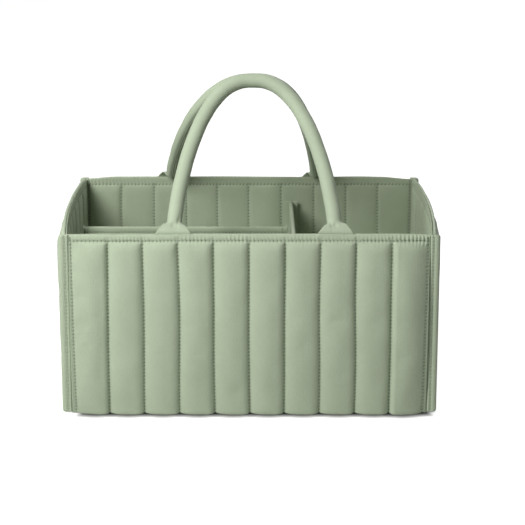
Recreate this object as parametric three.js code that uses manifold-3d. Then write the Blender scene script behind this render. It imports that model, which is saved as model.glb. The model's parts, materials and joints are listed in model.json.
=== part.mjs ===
// Quilted fabric caddy with two loop handles and lift-out dividers.
// Millimetres, +Z up. The origin is on the floor under the middle of the body and the front faces -Y.
import * as THREE from 'three';
import { mergeVertices } from 'three/addons/utils/BufferGeometryUtils.js';
import Module from 'manifold-3d';

const wasm = await Module();
wasm.setup();

// Body
const BODY_WIDTH = 380; // over the corner bindings
const BODY_DEPTH = 250; // over the crowns of the front and back quilting
const BODY_HEIGHT = 190; // floor to rim
const SIDE_STAND = 0.6; // crowns of a side wall outside the corner bindings
const SIDE_BOW = 6; // outward bow of a side wall at the middle of its rim

// Wall layers, from the outside in
const QUILT_PUFF = 4.6; // crown of an outer channel above its stitched lines
const OUTER_CLOTH = 1.6; // outer panel where it is stitched flat
const WALL_BOARD = 1.5;
const LINING_CLOTH = 1.4;
const LINING_PUFF = 1.9;
const LAYER_GAP = 0.3; // clearance between one layer and the next

// Fineness of the curved surfaces
const OUTER_FRACTIONS = [0, 0.1, 0.28, 0.5, 0.72, 0.9]; // facets across one outer channel
const LINING_FRACTIONS = [0, 0.3, 0.7]; // facets across one channel of the lining
const BOW_STEPS = 14; // facets along a bowed board
const BOW_ROWS = 4;
const SLEEVE_SIDES = 10; // facets round a handle's strip
const FLARE_STEPS = 6;
const FLARE_CROWDING = 1.1; // crowds the flare's steps towards the tab
const LOOP_STEPS = 20; // facets along a handle's tube
const CORE_SIDES = 8;
const BINDING_ARC_STEPS = 3;

// Quilting and edges of the walls
const FRONT_CHANNELS = 10;
const SIDE_CHANNELS = 7;
const SEAM_MARGIN = 3; // flat strip between the last stitched line and the panel's end
const HEM_HEIGHT = 7; // rim down to the hem stitching
const HEM_FADE = 10; // height over which the channels die out under the hem
const FOOT_TUCK = 12; // height over which the channels tuck in at the foot
const FOOT_ROUND = 0.2; // share of the tuck where its rounding is steepest
const ARCH_POWER = 0.7; // roundness of a channel's arch
const RIM_FOLD = 2.2; // thickness of the outer cloth where it folds over the rim
const WALL_LIFT = 0.6; // foot of the walls above the floor

// Base layers, from the floor up
const BOTTOM_CLOTH = 1.8;
const BASE_BOARD = 1.5;
const FLOOR_LINING = 2;

// Folded tape that binds each upright corner seam
const BINDING_WIDTH = 9.7;
const BINDING_CLOTH = 1.4;
const BINDING_INSET = 1.2; // from the rim and from the floor
const BINDING_CORNER = 3.2;
const BINDING_EDGE = 0.7;
const SEAM_ALLOWANCE = 1.2; // thickness of the front panel's edge inside the tape

// Handles: a strip of cloth rolled round a cord, with flat ends sewn into the rim
const HANDLE_SPAN = 161.5; // between the middles of the two tabs
const FRONT_HANDLE_REACH = 171.5; // rim to the middle of the tube at the top of the loop
const BACK_HANDLE_REACH = 169.2;
const HANDLE_DIAMETER = 15;
const HANDLE_CLOTH = 1.2;
const HANDLE_SLIT = 0.8; // open seam of the rolled strip, on the side that faces inwards
const HANDLE_MEET = 1.6; // gap between the two loops where they lean together
const HANDLE_SIDE_POWER = 2.7; // powers of the loop's superellipse
const HANDLE_TOP_POWER = 1.3;
const FRONT_HANDLE_SHIFT = 5; // the front loop is sewn a little to the right, the back one to the left
const BACK_HANDLE_SHIFT = -5;
const FRONT_HANDLE_SWAY = -1.9; // how far the top of a loop hangs to the right of the middle of its tabs
const BACK_HANDLE_SWAY = 11.4;
const TAB_WIDTH = 36;
const TAB_FLAT = 1; // flat stretch of the tab above the rim
const TAB_FLARE = 17; // length over which the flat tab then rolls up into the tube
const TAB_SEWN = 22; // depth of the tab inside the wall
const CORE_CLEARANCE = 0.5;

// Dividers: a board in a cloth cover, with a flap and a strip of hook tape at each end
const DIVIDER_HEIGHT = 158;
const DIVIDER_BOARD = 2;
const DIVIDER_CLOTH = 1.3;
const CROSS_DIVIDER_SHIFT = 46.5; // the cross divider stands to the right of the body's middle
const FLAP_WIDTH = 15;
const FLAP_CLOTH = 1.4;
const TAPE_WIDTH = 12;
const TAPE_CLOTH = 1.2;
const TAPE_LENGTH = 110;
const TAPE_RISE = 24; // foot of the tapes above the floor lining

// Places of the layers, as depths behind the crown plane of a wall
const clothFace = QUILT_PUFF;
const clothBack = clothFace + OUTER_CLOTH;
const boardFace = clothBack + LAYER_GAP;
const boardBack = boardFace + WALL_BOARD;
const liningBack = boardBack + LAYER_GAP;
const liningFace = liningBack + LINING_CLOTH;
const liningCrown = liningFace + LINING_PUFF;

// Plan of the body
const halfWidth = BODY_WIDTH / 2;
const halfDepth = BODY_DEPTH / 2;
const bindingInner = halfWidth - BINDING_WIDTH;
const frontHalf = bindingInner - LAYER_GAP;
const sideCrown = halfWidth + SIDE_STAND;
const slotDepth = SEAM_ALLOWANCE + 2 * LAYER_GAP;
const bindingThickness = slotDepth + 2 * BINDING_CLOTH;
const bindingMiddle = (clothFace + clothBack) / 2 - halfDepth; // in the plane of the front panel's edge
const bindingBack = -bindingMiddle - bindingThickness / 2;
const sideHalf = halfDepth - boardBack - LAYER_GAP;
const baseHalfX = sideCrown - clothBack - LAYER_GAP;
const baseHalfY = halfDepth - clothBack - LAYER_GAP;
const liningHalfX = sideCrown - liningBack;
const liningHalfY = halfDepth - liningBack;
const sideLiningHalf = halfDepth - liningCrown - LAYER_GAP;

// Heights of the base
const baseBoardFoot = BOTTOM_CLOTH + LAYER_GAP;
const baseBoardTop = baseBoardFoot + BASE_BOARD;
const wallBoardFoot = baseBoardTop + LAYER_GAP;
const floorTop = wallBoardFoot + FLOOR_LINING;
const liningFoot = floorTop + LAYER_GAP;
const hemLine = BODY_HEIGHT - HEM_HEIGHT;
const wallBoardTop = hemLine - LAYER_GAP;

const sage = new THREE.MeshStandardMaterial({ color: 0xa6b29a, roughness: 0.85, metalness: 0 });
const liningSage = new THREE.MeshStandardMaterial({ color: 0x96a189, roughness: 0.9, metalness: 0 });
const greyBoard = new THREE.MeshStandardMaterial({ color: 0xc9c5b8, roughness: 0.8, metalness: 0 });
const cottonCord = new THREE.MeshStandardMaterial({ color: 0xe4e0d2, roughness: 0.95, metalness: 0 });
const hookTape = new THREE.MeshStandardMaterial({ color: 0x8d997f, roughness: 0.95, metalness: 0 });

// A closed mesh as a solid that can be joined and cut
function solidOf(geometry) {
  const bare = new THREE.BufferGeometry();
  bare.setAttribute('position', geometry.getAttribute('position').clone());
  if (geometry.index) {
    bare.setIndex(geometry.index.clone());
  }
  const merged = mergeVertices(bare, 1e-4);
  return new wasm.Manifold(new wasm.Mesh({
    numProp: 3,
    vertProperties: new Float32Array(merged.getAttribute('position').array),
    triVerts: new Uint32Array(merged.index.array),
  }));
}

function geometryOf(solid) {
  const mesh = solid.getMesh();
  const geometry = new THREE.BufferGeometry();
  geometry.setAttribute('position', new THREE.BufferAttribute(new Float32Array(mesh.vertProperties), 3));
  geometry.setIndex(new THREE.BufferAttribute(new Uint32Array(mesh.triVerts), 1));
  geometry.computeVertexNormals();
  return geometry;
}

// An upright block between two corners
function block(low, high) {
  const size = high.map((value, axis) => value - low[axis]);
  const geometry = new THREE.BoxGeometry(...size);
  geometry.translate(...low.map((value, axis) => value + size[axis] / 2));
  return geometry;
}

function named(name, geometry, material) {
  const mesh = new THREE.Mesh(geometry, material);
  mesh.name = name;
  return mesh;
}

// A closed skin over rings of points: ring after ring, and a cap on the first and the last
function ringedGeometry(rings, capTriangles) {
  const count = rings[0].length;
  const position = rings.flat().flatMap((point) => point.toArray());
  const index = [];
  for (let ring = 0; ring + 1 < rings.length; ring += 1) {
    for (let side = 0; side < count; side += 1) {
      const next = (side + 1) % count;
      const a = ring * count + side;
      const b = ring * count + next;
      index.push(a, b, a + count, b, b + count, a + count);
    }
  }
  const last = (rings.length - 1) * count;
  for (const [a, b, c] of capTriangles) {
    index.push(a, c, b);
    index.push(last + a, last + b, last + c);
  }
  const geometry = new THREE.BufferGeometry();
  geometry.setAttribute('position', new THREE.Float32BufferAttribute(position, 3));
  geometry.setIndex(index);
  geometry.computeVertexNormals();
  return geometry;
}

// Triangles that close the end of a ring which runs along one side of a strip and back along the other
function stripCap(stops) {
  const count = 2 * stops;
  const cap = [];
  for (let i = 0; i + 1 < stops; i += 1) {
    cap.push([i, i + 1, count - 1 - i]);
    cap.push([i + 1, count - 2 - i, count - 1 - i]);
  }
  return cap;
}

// Values from low to high in equal steps, both ends included
function spread(low, high, steps) {
  return Array.from({ length: steps + 1 }, (_, i) => low + ((high - low) * i) / steps);
}

// A layer of a wall between two depths, on a grid of places along the wall and heights.
// Each row of the grid is one ring: along the outer side and back along the inner side.
function layer(stops, heights, outerDepth, innerDepth, place) {
  const rings = heights.map((z) => {
    const outer = stops.map((s) => place(s, outerDepth(s, z), z));
    const inner = stops.map((s) => place(s, innerDepth(s, z), z));
    return [...outer, ...inner.reverse()];
  });
  return ringedGeometry(rings, stripCap(stops.length));
}

// The front wall stands across -Y; a back wall is the same turned half round
function onFront(s, depth, z) {
  return new THREE.Vector3(s, depth - halfDepth, z);
}

// The right wall bows out most at the middle of its rim and is straight along the floor and the corners
function bowAt(s, z) {
  return SIDE_BOW * (z / BODY_HEIGHT) * (1 - (s / sideHalf) ** 2);
}

function onSide(s, depth, z) {
  return new THREE.Vector3(sideCrown + bowAt(s, z) - depth, s, z);
}

// Quilting of one wall: where its channels lie and how high they stand
class Quilting {
  constructor(halfLength, channels, puff, fractions) {
    this.halfLength = halfLength;
    this.quiltHalf = halfLength - SEAM_MARGIN;
    this.pitch = (2 * this.quiltHalf) / channels;
    this.puff = puff;
    this.stops = [-halfLength];
    for (let channel = 0; channel < channels; channel += 1) {
      const start = -this.quiltHalf + channel * this.pitch;
      this.stops.push(...fractions.map((fraction) => start + fraction * this.pitch));
    }
    this.stops.push(this.quiltHalf, halfLength);
  }

  // Round-topped arch across a channel, dying out under the hem and at the foot
  height(s, z, foot) {
    const across = (s + this.quiltHalf) / this.pitch;
    const phase = across - Math.floor(across);
    const inside = Math.abs(s) < this.quiltHalf;
    const arch = inside ? Math.sin(Math.PI * phase) ** ARCH_POWER : 0;
    const rise = THREE.MathUtils.clamp((z - foot) / FOOT_TUCK, 0, 1);
    const fall = THREE.MathUtils.clamp((hemLine - z) / HEM_FADE, 0, 1);
    return this.puff * arch * Math.sqrt(rise * (2 - rise)) * Math.sqrt(fall * (2 - fall));
  }
}

// Outer panel: quilted layer whose top folds in over the board to meet the lining
function outerPanel(halfLength, channels, foldHalf, place) {
  const quilting = new Quilting(halfLength, channels, QUILT_PUFF, OUTER_FRACTIONS);
  const heights = [
    WALL_LIFT, WALL_LIFT + FOOT_TUCK * FOOT_ROUND, WALL_LIFT + FOOT_TUCK, hemLine - HEM_FADE, hemLine,
    BODY_HEIGHT,
  ];
  const depth = (s, z) => clothFace - quilting.height(s, z, WALL_LIFT);
  const panel = layer(quilting.stops, heights, depth, () => clothBack, place);
  const fold = layer(
    spread(-foldHalf, foldHalf, BOW_STEPS),
    [BODY_HEIGHT - RIM_FOLD, BODY_HEIGHT],
    () => (clothFace + clothBack) / 2,
    () => boardBack,
    place,
  );
  return solidOf(panel).add(solidOf(fold));
}

// Front or back outer panel, with slots in its fold for the tabs and its edges reaching into the bindings
function longOuterPanel(tabCentres) {
  const edgeEnd = halfWidth - BINDING_CLOTH - LAYER_GAP;
  const edgeFoot = BINDING_INSET + BINDING_CORNER;
  const edge = block(
    [-edgeEnd, bindingMiddle - SEAM_ALLOWANCE / 2, edgeFoot],
    [edgeEnd, bindingMiddle + SEAM_ALLOWANCE / 2, BODY_HEIGHT - edgeFoot],
  );
  let solid = outerPanel(frontHalf, FRONT_CHANNELS, frontHalf, onFront).add(solidOf(edge));
  for (const centre of tabCentres) {
    const slotHalf = TAB_WIDTH / 2 + LAYER_GAP;
    const slot = block(
      [centre - slotHalf, boardFace - LAYER_GAP / 2 - halfDepth, BODY_HEIGHT - 2 * RIM_FOLD],
      [centre + slotHalf, liningFace - halfDepth, BODY_HEIGHT + RIM_FOLD],
    );
    solid = solid.subtract(solidOf(slot));
  }
  return geometryOf(solid);
}

function sideOuterPanel() {
  return geometryOf(outerPanel(sideHalf, SIDE_CHANNELS, sideHalf, onSide));
}

// Front or back board, notched at its top edge round each tab
function longBoard(tabCentres) {
  const notchHalf = TAB_WIDTH / 2 + LAYER_GAP;
  const notchFoot = BODY_HEIGHT - TAB_SEWN - LAYER_GAP;
  const outline = new THREE.Shape();
  outline.moveTo(-frontHalf, wallBoardFoot);
  outline.lineTo(frontHalf, wallBoardFoot);
  outline.lineTo(frontHalf, wallBoardTop);
  for (const centre of [...tabCentres].sort((a, b) => b - a)) {
    outline.lineTo(centre + notchHalf, wallBoardTop);
    outline.lineTo(centre + notchHalf, notchFoot);
    outline.lineTo(centre - notchHalf, notchFoot);
    outline.lineTo(centre - notchHalf, wallBoardTop);
  }
  outline.lineTo(-frontHalf, wallBoardTop);
  const geometry = new THREE.ExtrudeGeometry(outline, { depth: WALL_BOARD, bevelEnabled: false });
  geometry.rotateX(Math.PI / 2);
  geometry.translate(0, boardBack - halfDepth, 0);
  return geometry;
}

// Left or right board, bent to the bow of the wall
function sideBoard() {
  const stops = spread(-sideHalf, sideHalf, BOW_STEPS);
  const heights = spread(wallBoardFoot, wallBoardTop, BOW_ROWS);
  return layer(stops, heights, () => boardFace, () => boardBack, onSide);
}

// Lining of one wall, quilted towards the inside through the same stitched lines
function lining(halfLength, channels, place) {
  const quilting = new Quilting(halfLength, channels, LINING_PUFF, LINING_FRACTIONS);
  const heights = [liningFoot, liningFoot + FOOT_TUCK, hemLine - HEM_FADE, hemLine, BODY_HEIGHT];
  const depth = (s, z) => liningFace + quilting.height(s, z, liningFoot);
  return layer(quilting.stops, heights, () => liningBack, depth, place);
}

// Folded tape over a corner seam: rounded outer corners, and a slot for the front panel's edge
function cornerBinding() {
  const inner = bindingInner;
  const foot = BINDING_INSET;
  const top = BODY_HEIGHT - BINDING_INSET;
  const outline = new THREE.Shape();
  outline.moveTo(inner, foot);
  outline.lineTo(halfWidth - BINDING_CORNER, foot);
  outline.absarc(halfWidth - BINDING_CORNER, foot + BINDING_CORNER, BINDING_CORNER, -Math.PI / 2, 0, false);
  outline.lineTo(halfWidth, top - BINDING_CORNER);
  outline.absarc(halfWidth - BINDING_CORNER, top - BINDING_CORNER, BINDING_CORNER, 0, Math.PI / 2, false);
  outline.lineTo(inner, top);
  const tape = new THREE.ExtrudeGeometry(outline, {
    depth: bindingThickness - 2 * BINDING_EDGE,
    bevelThickness: BINDING_EDGE,
    bevelSize: BINDING_EDGE,
    bevelOffset: -BINDING_EDGE,
    bevelSegments: 1,
    curveSegments: BINDING_ARC_STEPS,
  });
  tape.rotateX(Math.PI / 2);
  tape.translate(0, bindingMiddle + bindingThickness / 2 - BINDING_EDGE, 0);
  const slot = block(
    [inner - BINDING_WIDTH, bindingMiddle - slotDepth / 2, foot + BINDING_CORNER - LAYER_GAP],
    [halfWidth - BINDING_CLOTH, bindingMiddle + slotDepth / 2, top - BINDING_CORNER + LAYER_GAP],
  );
  return geometryOf(solidOf(tape).subtract(solidOf(slot)));
}

// Loop of a handle in its own plane: a superellipse from tab to tab, swayed more the higher it is
class HandleLoop extends THREE.Curve {
  constructor(reach, sway) {
    super();
    this.reach = reach;
    this.sway = sway;
  }

  getPoint(t, target = new THREE.Vector3()) {
    const turn = Math.PI * t;
    const side = Math.cos(turn);
    const along = Math.sign(side) * Math.abs(side) ** (2 / HANDLE_SIDE_POWER);
    const up = Math.abs(Math.sin(turn)) ** (2 / HANDLE_TOP_POWER);
    return target.set((HANDLE_SPAN / 2) * along + this.sway * up ** 2, 0, this.reach * up);
  }
}

const tubeMiddleRadius = (HANDLE_DIAMETER - HANDLE_CLOTH) / 2;
const handleInwards = new THREE.Vector3(0, 1, 0);
const tubeStart = TAB_FLAT + TAB_FLARE;

// Section of the strip at a distance along it: flat at the tab, rolled into a tube past the flare.
// The strip's back stays in the plane of the tabs, and its two edges curl inwards to the seam.
function stripSection(loop, distance) {
  const length = loop.getLength();
  const end = Math.min(distance, length - distance);
  const roll = THREE.MathUtils.smoothstep(end, TAB_FLAT, tubeStart);
  const rolledWidth = 2 * Math.PI * tubeMiddleRadius - HANDLE_SLIT;
  const width = THREE.MathUtils.lerp(TAB_WIDTH, rolledWidth, roll);
  const curl = (roll * rolledWidth) / (tubeMiddleRadius * width);
  const middle = loop.getPointAt(distance / length);
  const forward = loop.getTangentAt(distance / length);
  const across = new THREE.Vector3().crossVectors(forward, handleInwards);
  const point = (arc, offset) => {
    const turn = curl * arc;
    const sideways = curl > 0 ? Math.sin(turn) / curl : arc;
    const inwards = curl > 0 ? (1 - Math.cos(turn)) / curl : 0;
    return middle.clone()
      .addScaledVector(across, sideways + offset * Math.sin(turn))
      .addScaledVector(handleInwards, inwards - offset * Math.cos(turn));
  };
  const arcs = spread(-width / 2, width / 2, SLEEVE_SIDES);
  const outside = arcs.map((arc) => point(arc, HANDLE_CLOTH / 2));
  const inside = arcs.map((arc) => point(arc, -HANDLE_CLOTH / 2));
  return [...inside, ...outside.reverse()];
}

function handleSleeve(loop) {
  const length = loop.getLength();
  const flare = spread(0, 1, FLARE_STEPS).map((share) => TAB_FLAT + TAB_FLARE * share ** FLARE_CROWDING);
  const tube = spread(tubeStart, length - tubeStart, LOOP_STEPS).slice(1, -1);
  const farFlare = flare.map((distance) => length - distance).reverse();
  const stations = [0, ...flare, ...tube, ...farFlare, length];
  const rings = stations.map((distance) => stripSection(loop, distance));
  return ringedGeometry(rings, stripCap(SLEEVE_SIDES + 1));
}

// Cord inside the rolled strip, from one flare to the other
function handleCore(loop) {
  const length = loop.getLength();
  const points = spread(tubeStart, length - tubeStart, LOOP_STEPS).map((distance) => (
    loop.getPointAt(distance / length).addScaledVector(handleInwards, tubeMiddleRadius)
  ));
  const radius = tubeMiddleRadius - HANDLE_CLOTH / 2 - CORE_CLEARANCE;
  const section = new THREE.Shape(spread(0, 2 * Math.PI, CORE_SIDES).slice(0, -1).map((turn) => (
    new THREE.Vector2(radius * Math.cos(turn), radius * Math.sin(turn))
  )));
  const extrudePath = new THREE.CatmullRomCurve3(points);
  return new THREE.ExtrudeGeometry(section, { steps: LOOP_STEPS, extrudePath });
}

// The two loops lean in until their tubes meet over the middle of the body
const tabDepth = (boardFace + boardBack) / 2;
const handleFoot = halfDepth - tabDepth;
const handleRun = handleFoot - HANDLE_MEET / 2 - HANDLE_DIAMETER / 2;

function handleLean(reach) {
  return Math.asin(handleRun / Math.hypot(reach, tubeMiddleRadius)) - Math.atan2(tubeMiddleRadius, reach);
}

// One handle at the front rim: a leaning loop and the two sewn ends of its strip
function handle(name, shift, reach, sway) {
  const group = new THREE.Group();
  const loop = new HandleLoop(reach, sway);
  const leaning = new THREE.Group();
  const clear = HANDLE_CLOTH / 2 + LAYER_GAP;
  leaning.position.set(shift, -handleFoot, BODY_HEIGHT + clear);
  leaning.rotation.x = -handleLean(reach);
  leaning.add(named(`${name}_handle_sleeve`, handleSleeve(loop), sage));
  leaning.add(named(`${name}_handle_core`, handleCore(loop), cottonCord));
  group.add(leaning);
  for (const [side, sign] of [['left', -1], ['right', 1]]) {
    const centre = shift + (sign * HANDLE_SPAN) / 2;
    const anchor = block(
      [centre - TAB_WIDTH / 2, -handleFoot - HANDLE_CLOTH / 2, BODY_HEIGHT - TAB_SEWN],
      [centre + TAB_WIDTH / 2, -handleFoot + HANDLE_CLOTH / 2, BODY_HEIGHT],
    );
    group.add(named(`${name}_handle_${side}_end`, anchor, sage));
  }
  return group;
}

function tabCentres(shift) {
  return [shift - HANDLE_SPAN / 2, shift + HANDLE_SPAN / 2];
}

// Front or back wall with its handle, built at the front
function longWall(name, shift, reach, sway) {
  const group = new THREE.Group();
  group.add(named(`${name}_outer_panel`, longOuterPanel(tabCentres(shift)), sage));
  group.add(named(`${name}_wall_board`, longBoard(tabCentres(shift)), greyBoard));
  group.add(named(`${name}_lining`, lining(liningHalfX, FRONT_CHANNELS, onFront), liningSage));
  group.add(handle(name, shift, reach, sway));
  return group;
}

// Left or right wall, built at the right
function sideWall(name) {
  const group = new THREE.Group();
  group.add(named(`${name}_outer_panel`, sideOuterPanel(), sage));
  group.add(named(`${name}_wall_board`, sideBoard(), greyBoard));
  group.add(named(`${name}_lining`, lining(sideLiningHalf, SIDE_CHANNELS, onSide), liningSage));
  return group;
}

// Layer of the base, cut back at its corners round the bindings
function baseLayer(foot, top) {
  const notch = bindingBack - LAYER_GAP;
  const between = block([-frontHalf, -baseHalfY, foot], [frontHalf, baseHalfY, top]);
  const across = block([-baseHalfX, -notch, foot], [baseHalfX, notch, top]);
  return geometryOf(solidOf(between).add(solidOf(across)));
}

function base() {
  const group = new THREE.Group();
  const floor = block([-liningHalfX, -liningHalfY, wallBoardFoot], [liningHalfX, liningHalfY, floorTop]);
  group.add(named('bottom_panel', baseLayer(0, BOTTOM_CLOTH), sage));
  group.add(named('base_board', baseLayer(baseBoardFoot, baseBoardTop), greyBoard));
  group.add(named('floor_lining', floor, liningSage));
  return group;
}

// Corner bindings: one solid, turned to the four corners
function corners() {
  const group = new THREE.Group();
  const geometry = cornerBinding();
  const frontRight = named('front_right_corner_binding', geometry, sage);
  const frontLeft = named('front_left_corner_binding', geometry, sage);
  frontLeft.rotation.y = Math.PI;
  frontLeft.position.z = BODY_HEIGHT;
  const backLeft = named('back_left_corner_binding', geometry, sage);
  backLeft.rotation.z = Math.PI;
  const backRight = named('back_right_corner_binding', geometry, sage);
  backRight.rotation.x = Math.PI;
  backRight.position.z = BODY_HEIGHT;
  group.add(frontRight, frontLeft, backLeft, backRight);
  return group;
}

// Stack at a divider's end, from what it sticks to: loop tape, hook tape, then the flap of the cover
const loopTapeOut = LAYER_GAP + TAPE_CLOTH;
const hookTapeOut = loopTapeOut + LAYER_GAP + TAPE_CLOTH;
const flapOut = hookTapeOut + LAYER_GAP;
const webThickness = DIVIDER_BOARD + 2 * LAYER_GAP + 2 * DIVIDER_CLOTH;
const dividerFoot = liningFoot;
const dividerTop = dividerFoot + DIVIDER_HEIGHT;
const tapeFoot = floorTop + TAPE_RISE;

// Cover of a divider that runs along X from 0 to its length: in plan a web with a flap across each end,
// less the board's pocket, which is open at the foot
function dividerCover(length) {
  const webHalf = webThickness / 2;
  const flapHalf = FLAP_WIDTH / 2;
  const plan = new THREE.Shape([
    [0, -flapHalf], [FLAP_CLOTH, -flapHalf], [FLAP_CLOTH, -webHalf],
    [length - FLAP_CLOTH, -webHalf], [length - FLAP_CLOTH, -flapHalf], [length, -flapHalf],
    [length, flapHalf], [length - FLAP_CLOTH, flapHalf], [length - FLAP_CLOTH, webHalf],
    [FLAP_CLOTH, webHalf], [FLAP_CLOTH, flapHalf], [0, flapHalf],
  ].map(([x, y]) => new THREE.Vector2(x, y)));
  const cover = new THREE.ExtrudeGeometry(plan, { depth: DIVIDER_HEIGHT, bevelEnabled: false });
  cover.translate(0, 0, dividerFoot);
  const pocketHalf = DIVIDER_BOARD / 2 + LAYER_GAP;
  const pocketInset = FLAP_CLOTH + DIVIDER_CLOTH;
  const pocket = block(
    [pocketInset, -pocketHalf, dividerFoot - DIVIDER_CLOTH],
    [length - pocketInset, pocketHalf, dividerTop - DIVIDER_CLOTH],
  );
  return geometryOf(solidOf(cover).subtract(solidOf(pocket)));
}

function dividerBoard(length) {
  const inset = FLAP_CLOTH + DIVIDER_CLOTH + LAYER_GAP;
  return block(
    [inset, -DIVIDER_BOARD / 2, dividerFoot],
    [length - inset, DIVIDER_BOARD / 2, dividerTop - DIVIDER_CLOTH - LAYER_GAP],
  );
}

// A strip of tape standing across X, with its back at x
function tape(x) {
  return block([x, -TAPE_WIDTH / 2, tapeFoot], [x + TAPE_CLOTH, TAPE_WIDTH / 2, tapeFoot + TAPE_LENGTH]);
}

// A divider along X from 0, with the hook tapes on its two flaps
function divider(name, length, nearEnd, farEnd) {
  const group = new THREE.Group();
  group.add(named(`${name}_cover`, dividerCover(length), liningSage));
  group.add(named(`${name}_board`, dividerBoard(length), greyBoard));
  group.add(named(`${name}_${nearEnd}_hook_tape`, tape(-LAYER_GAP - TAPE_CLOTH), hookTape));
  group.add(named(`${name}_${farEnd}_hook_tape`, tape(length + LAYER_GAP), hookTape));
  return group;
}

// Cross divider from the front lining to the back one
const liningInnerY = halfDepth - liningCrown;

function crossDivider() {
  const group = divider('cross_divider', 2 * (liningInnerY - flapOut), 'front', 'back');
  group.position.set(CROSS_DIVIDER_SHIFT, -liningInnerY + flapOut, 0);
  group.rotation.z = Math.PI / 2;
  return group;
}

// Long divider from the left lining, where the wall is most bowed at the middle, to the cross divider.
// Its left end stands upright at the foot of the tapes.
const liningInnerX = sideCrown - liningCrown + bowAt(0, tapeFoot);
const longRight = CROSS_DIVIDER_SHIFT - webThickness / 2;

function longDivider() {
  const length = longRight + liningInnerX - 2 * flapOut;
  const group = divider('long_divider', length, 'left', 'right');
  group.position.x = -liningInnerX + flapOut;
  return group;
}

// Loop tapes that the dividers' hook tapes press on to
function loopTapes() {
  const group = new THREE.Group();
  const front = named('front_wall_loop_tape', tape(LAYER_GAP), hookTape);
  front.position.set(CROSS_DIVIDER_SHIFT, -liningInnerY, 0);
  front.rotation.z = Math.PI / 2;
  const back = named('back_wall_loop_tape', tape(LAYER_GAP), hookTape);
  back.position.set(CROSS_DIVIDER_SHIFT, liningInnerY, 0);
  back.rotation.z = -Math.PI / 2;
  const left = named('left_wall_loop_tape', tape(LAYER_GAP), hookTape);
  left.position.x = -liningInnerX;
  const cross = named('cross_divider_loop_tape', tape(-loopTapeOut), hookTape);
  cross.position.x = longRight;
  group.add(front, back, left, cross);
  return group;
}

const caddy = new THREE.Group();
caddy.name = 'caddy';
const backWall = longWall('back', -BACK_HANDLE_SHIFT, BACK_HANDLE_REACH, -BACK_HANDLE_SWAY);
backWall.rotation.z = Math.PI;
const leftWall = sideWall('left');
leftWall.rotation.z = Math.PI;
const frontWall = longWall('front', FRONT_HANDLE_SHIFT, FRONT_HANDLE_REACH, FRONT_HANDLE_SWAY);
caddy.add(base(), frontWall, backWall, sideWall('right'), leftWall, corners());
caddy.add(crossDivider(), longDivider(), loopTapes());

export default caddy;
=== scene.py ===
"""Cloth, wadding, thread and board of a quilted fabric caddy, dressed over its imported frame.

Lengths are worked in millimetres until a mesh is made, and the frame's nodes give the places.
"""

import json
import logging
import math
from dataclasses import dataclass
from enum import Enum
from typing import Iterable, Sequence, Union

import bpy
import numpy as np
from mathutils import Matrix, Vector

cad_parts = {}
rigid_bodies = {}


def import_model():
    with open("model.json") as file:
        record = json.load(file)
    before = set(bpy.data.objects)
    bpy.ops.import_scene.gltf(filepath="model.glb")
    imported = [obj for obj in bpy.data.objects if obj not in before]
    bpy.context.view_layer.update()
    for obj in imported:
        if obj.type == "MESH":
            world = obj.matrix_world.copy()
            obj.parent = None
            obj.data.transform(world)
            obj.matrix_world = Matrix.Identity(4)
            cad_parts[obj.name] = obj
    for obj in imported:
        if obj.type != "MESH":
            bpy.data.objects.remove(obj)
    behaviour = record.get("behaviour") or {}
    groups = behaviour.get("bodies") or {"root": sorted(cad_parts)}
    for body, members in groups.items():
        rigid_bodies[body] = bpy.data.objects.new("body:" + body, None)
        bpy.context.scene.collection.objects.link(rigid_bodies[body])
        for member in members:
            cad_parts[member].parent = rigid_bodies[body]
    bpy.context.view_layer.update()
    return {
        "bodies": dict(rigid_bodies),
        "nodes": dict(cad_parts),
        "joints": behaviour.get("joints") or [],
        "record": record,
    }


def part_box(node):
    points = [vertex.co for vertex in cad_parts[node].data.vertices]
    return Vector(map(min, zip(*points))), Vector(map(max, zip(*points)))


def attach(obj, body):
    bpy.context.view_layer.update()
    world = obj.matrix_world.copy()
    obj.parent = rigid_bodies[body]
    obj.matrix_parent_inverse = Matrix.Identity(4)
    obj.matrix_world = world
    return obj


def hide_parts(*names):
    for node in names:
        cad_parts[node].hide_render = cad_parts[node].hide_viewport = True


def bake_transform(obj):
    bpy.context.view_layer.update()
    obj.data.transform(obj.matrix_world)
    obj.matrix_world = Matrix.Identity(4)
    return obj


LOG = logging.getLogger("caddy")
MM = 0.001  # metres in a millimetre
LAYER_GAP = 0.3  # clearance between one layer of the caddy and the next, mm
STITCH = 3.72  # length of one stitch, mm
MARGIN = 3.0  # flat strip of a panel beyond its last stitched line, mm
WAVE_RATE = 20.0  # radians in one unit of Blender's wave texture
FLAT = 1e-6  # turn or curl below which a strip counts as flat
UP = np.array([0.0, 0.0, 1.0])
FULL_TURN = 2.0 * math.pi

Grid = np.ndarray
Tree = bpy.types.NodeTree
Socket = bpy.types.NodeSocket
Value = Union[Socket, float, tuple]


def smooth(value: Grid) -> Grid:
    """Smoothstep of value held between 0 and 1."""
    held = np.clip(value, 0.0, 1.0)
    return held * held * (3.0 - 2.0 * held)


def rounded(value: Grid) -> Grid:
    """Quarter circle from 0 at value 0 to 1 at value 1 and beyond."""
    held = np.clip(value, 0.0, 1.0)
    return np.sqrt(held * (2.0 - held))


def hole(place: Grid, pitch: float) -> Grid:
    """Wave that is 1 at each needle hole and 0 half a stitch away."""
    return 0.5 + 0.5 * np.cos(FULL_TURN * place / pitch)


def bell(distance: Grid, width: float) -> Grid:
    """Bell curve that is 1 at distance 0 and 1/e at the width."""
    return np.exp(-((distance / width) ** 2))


def quads(grid: Grid) -> Grid:
    """Corners of the four-sided faces between the rows and the columns of a grid of vertex numbers."""
    return np.stack([grid[:-1, :-1], grid[:-1, 1:], grid[1:, 1:], grid[1:, :-1]], axis=-1).reshape(-1, 4)


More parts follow.
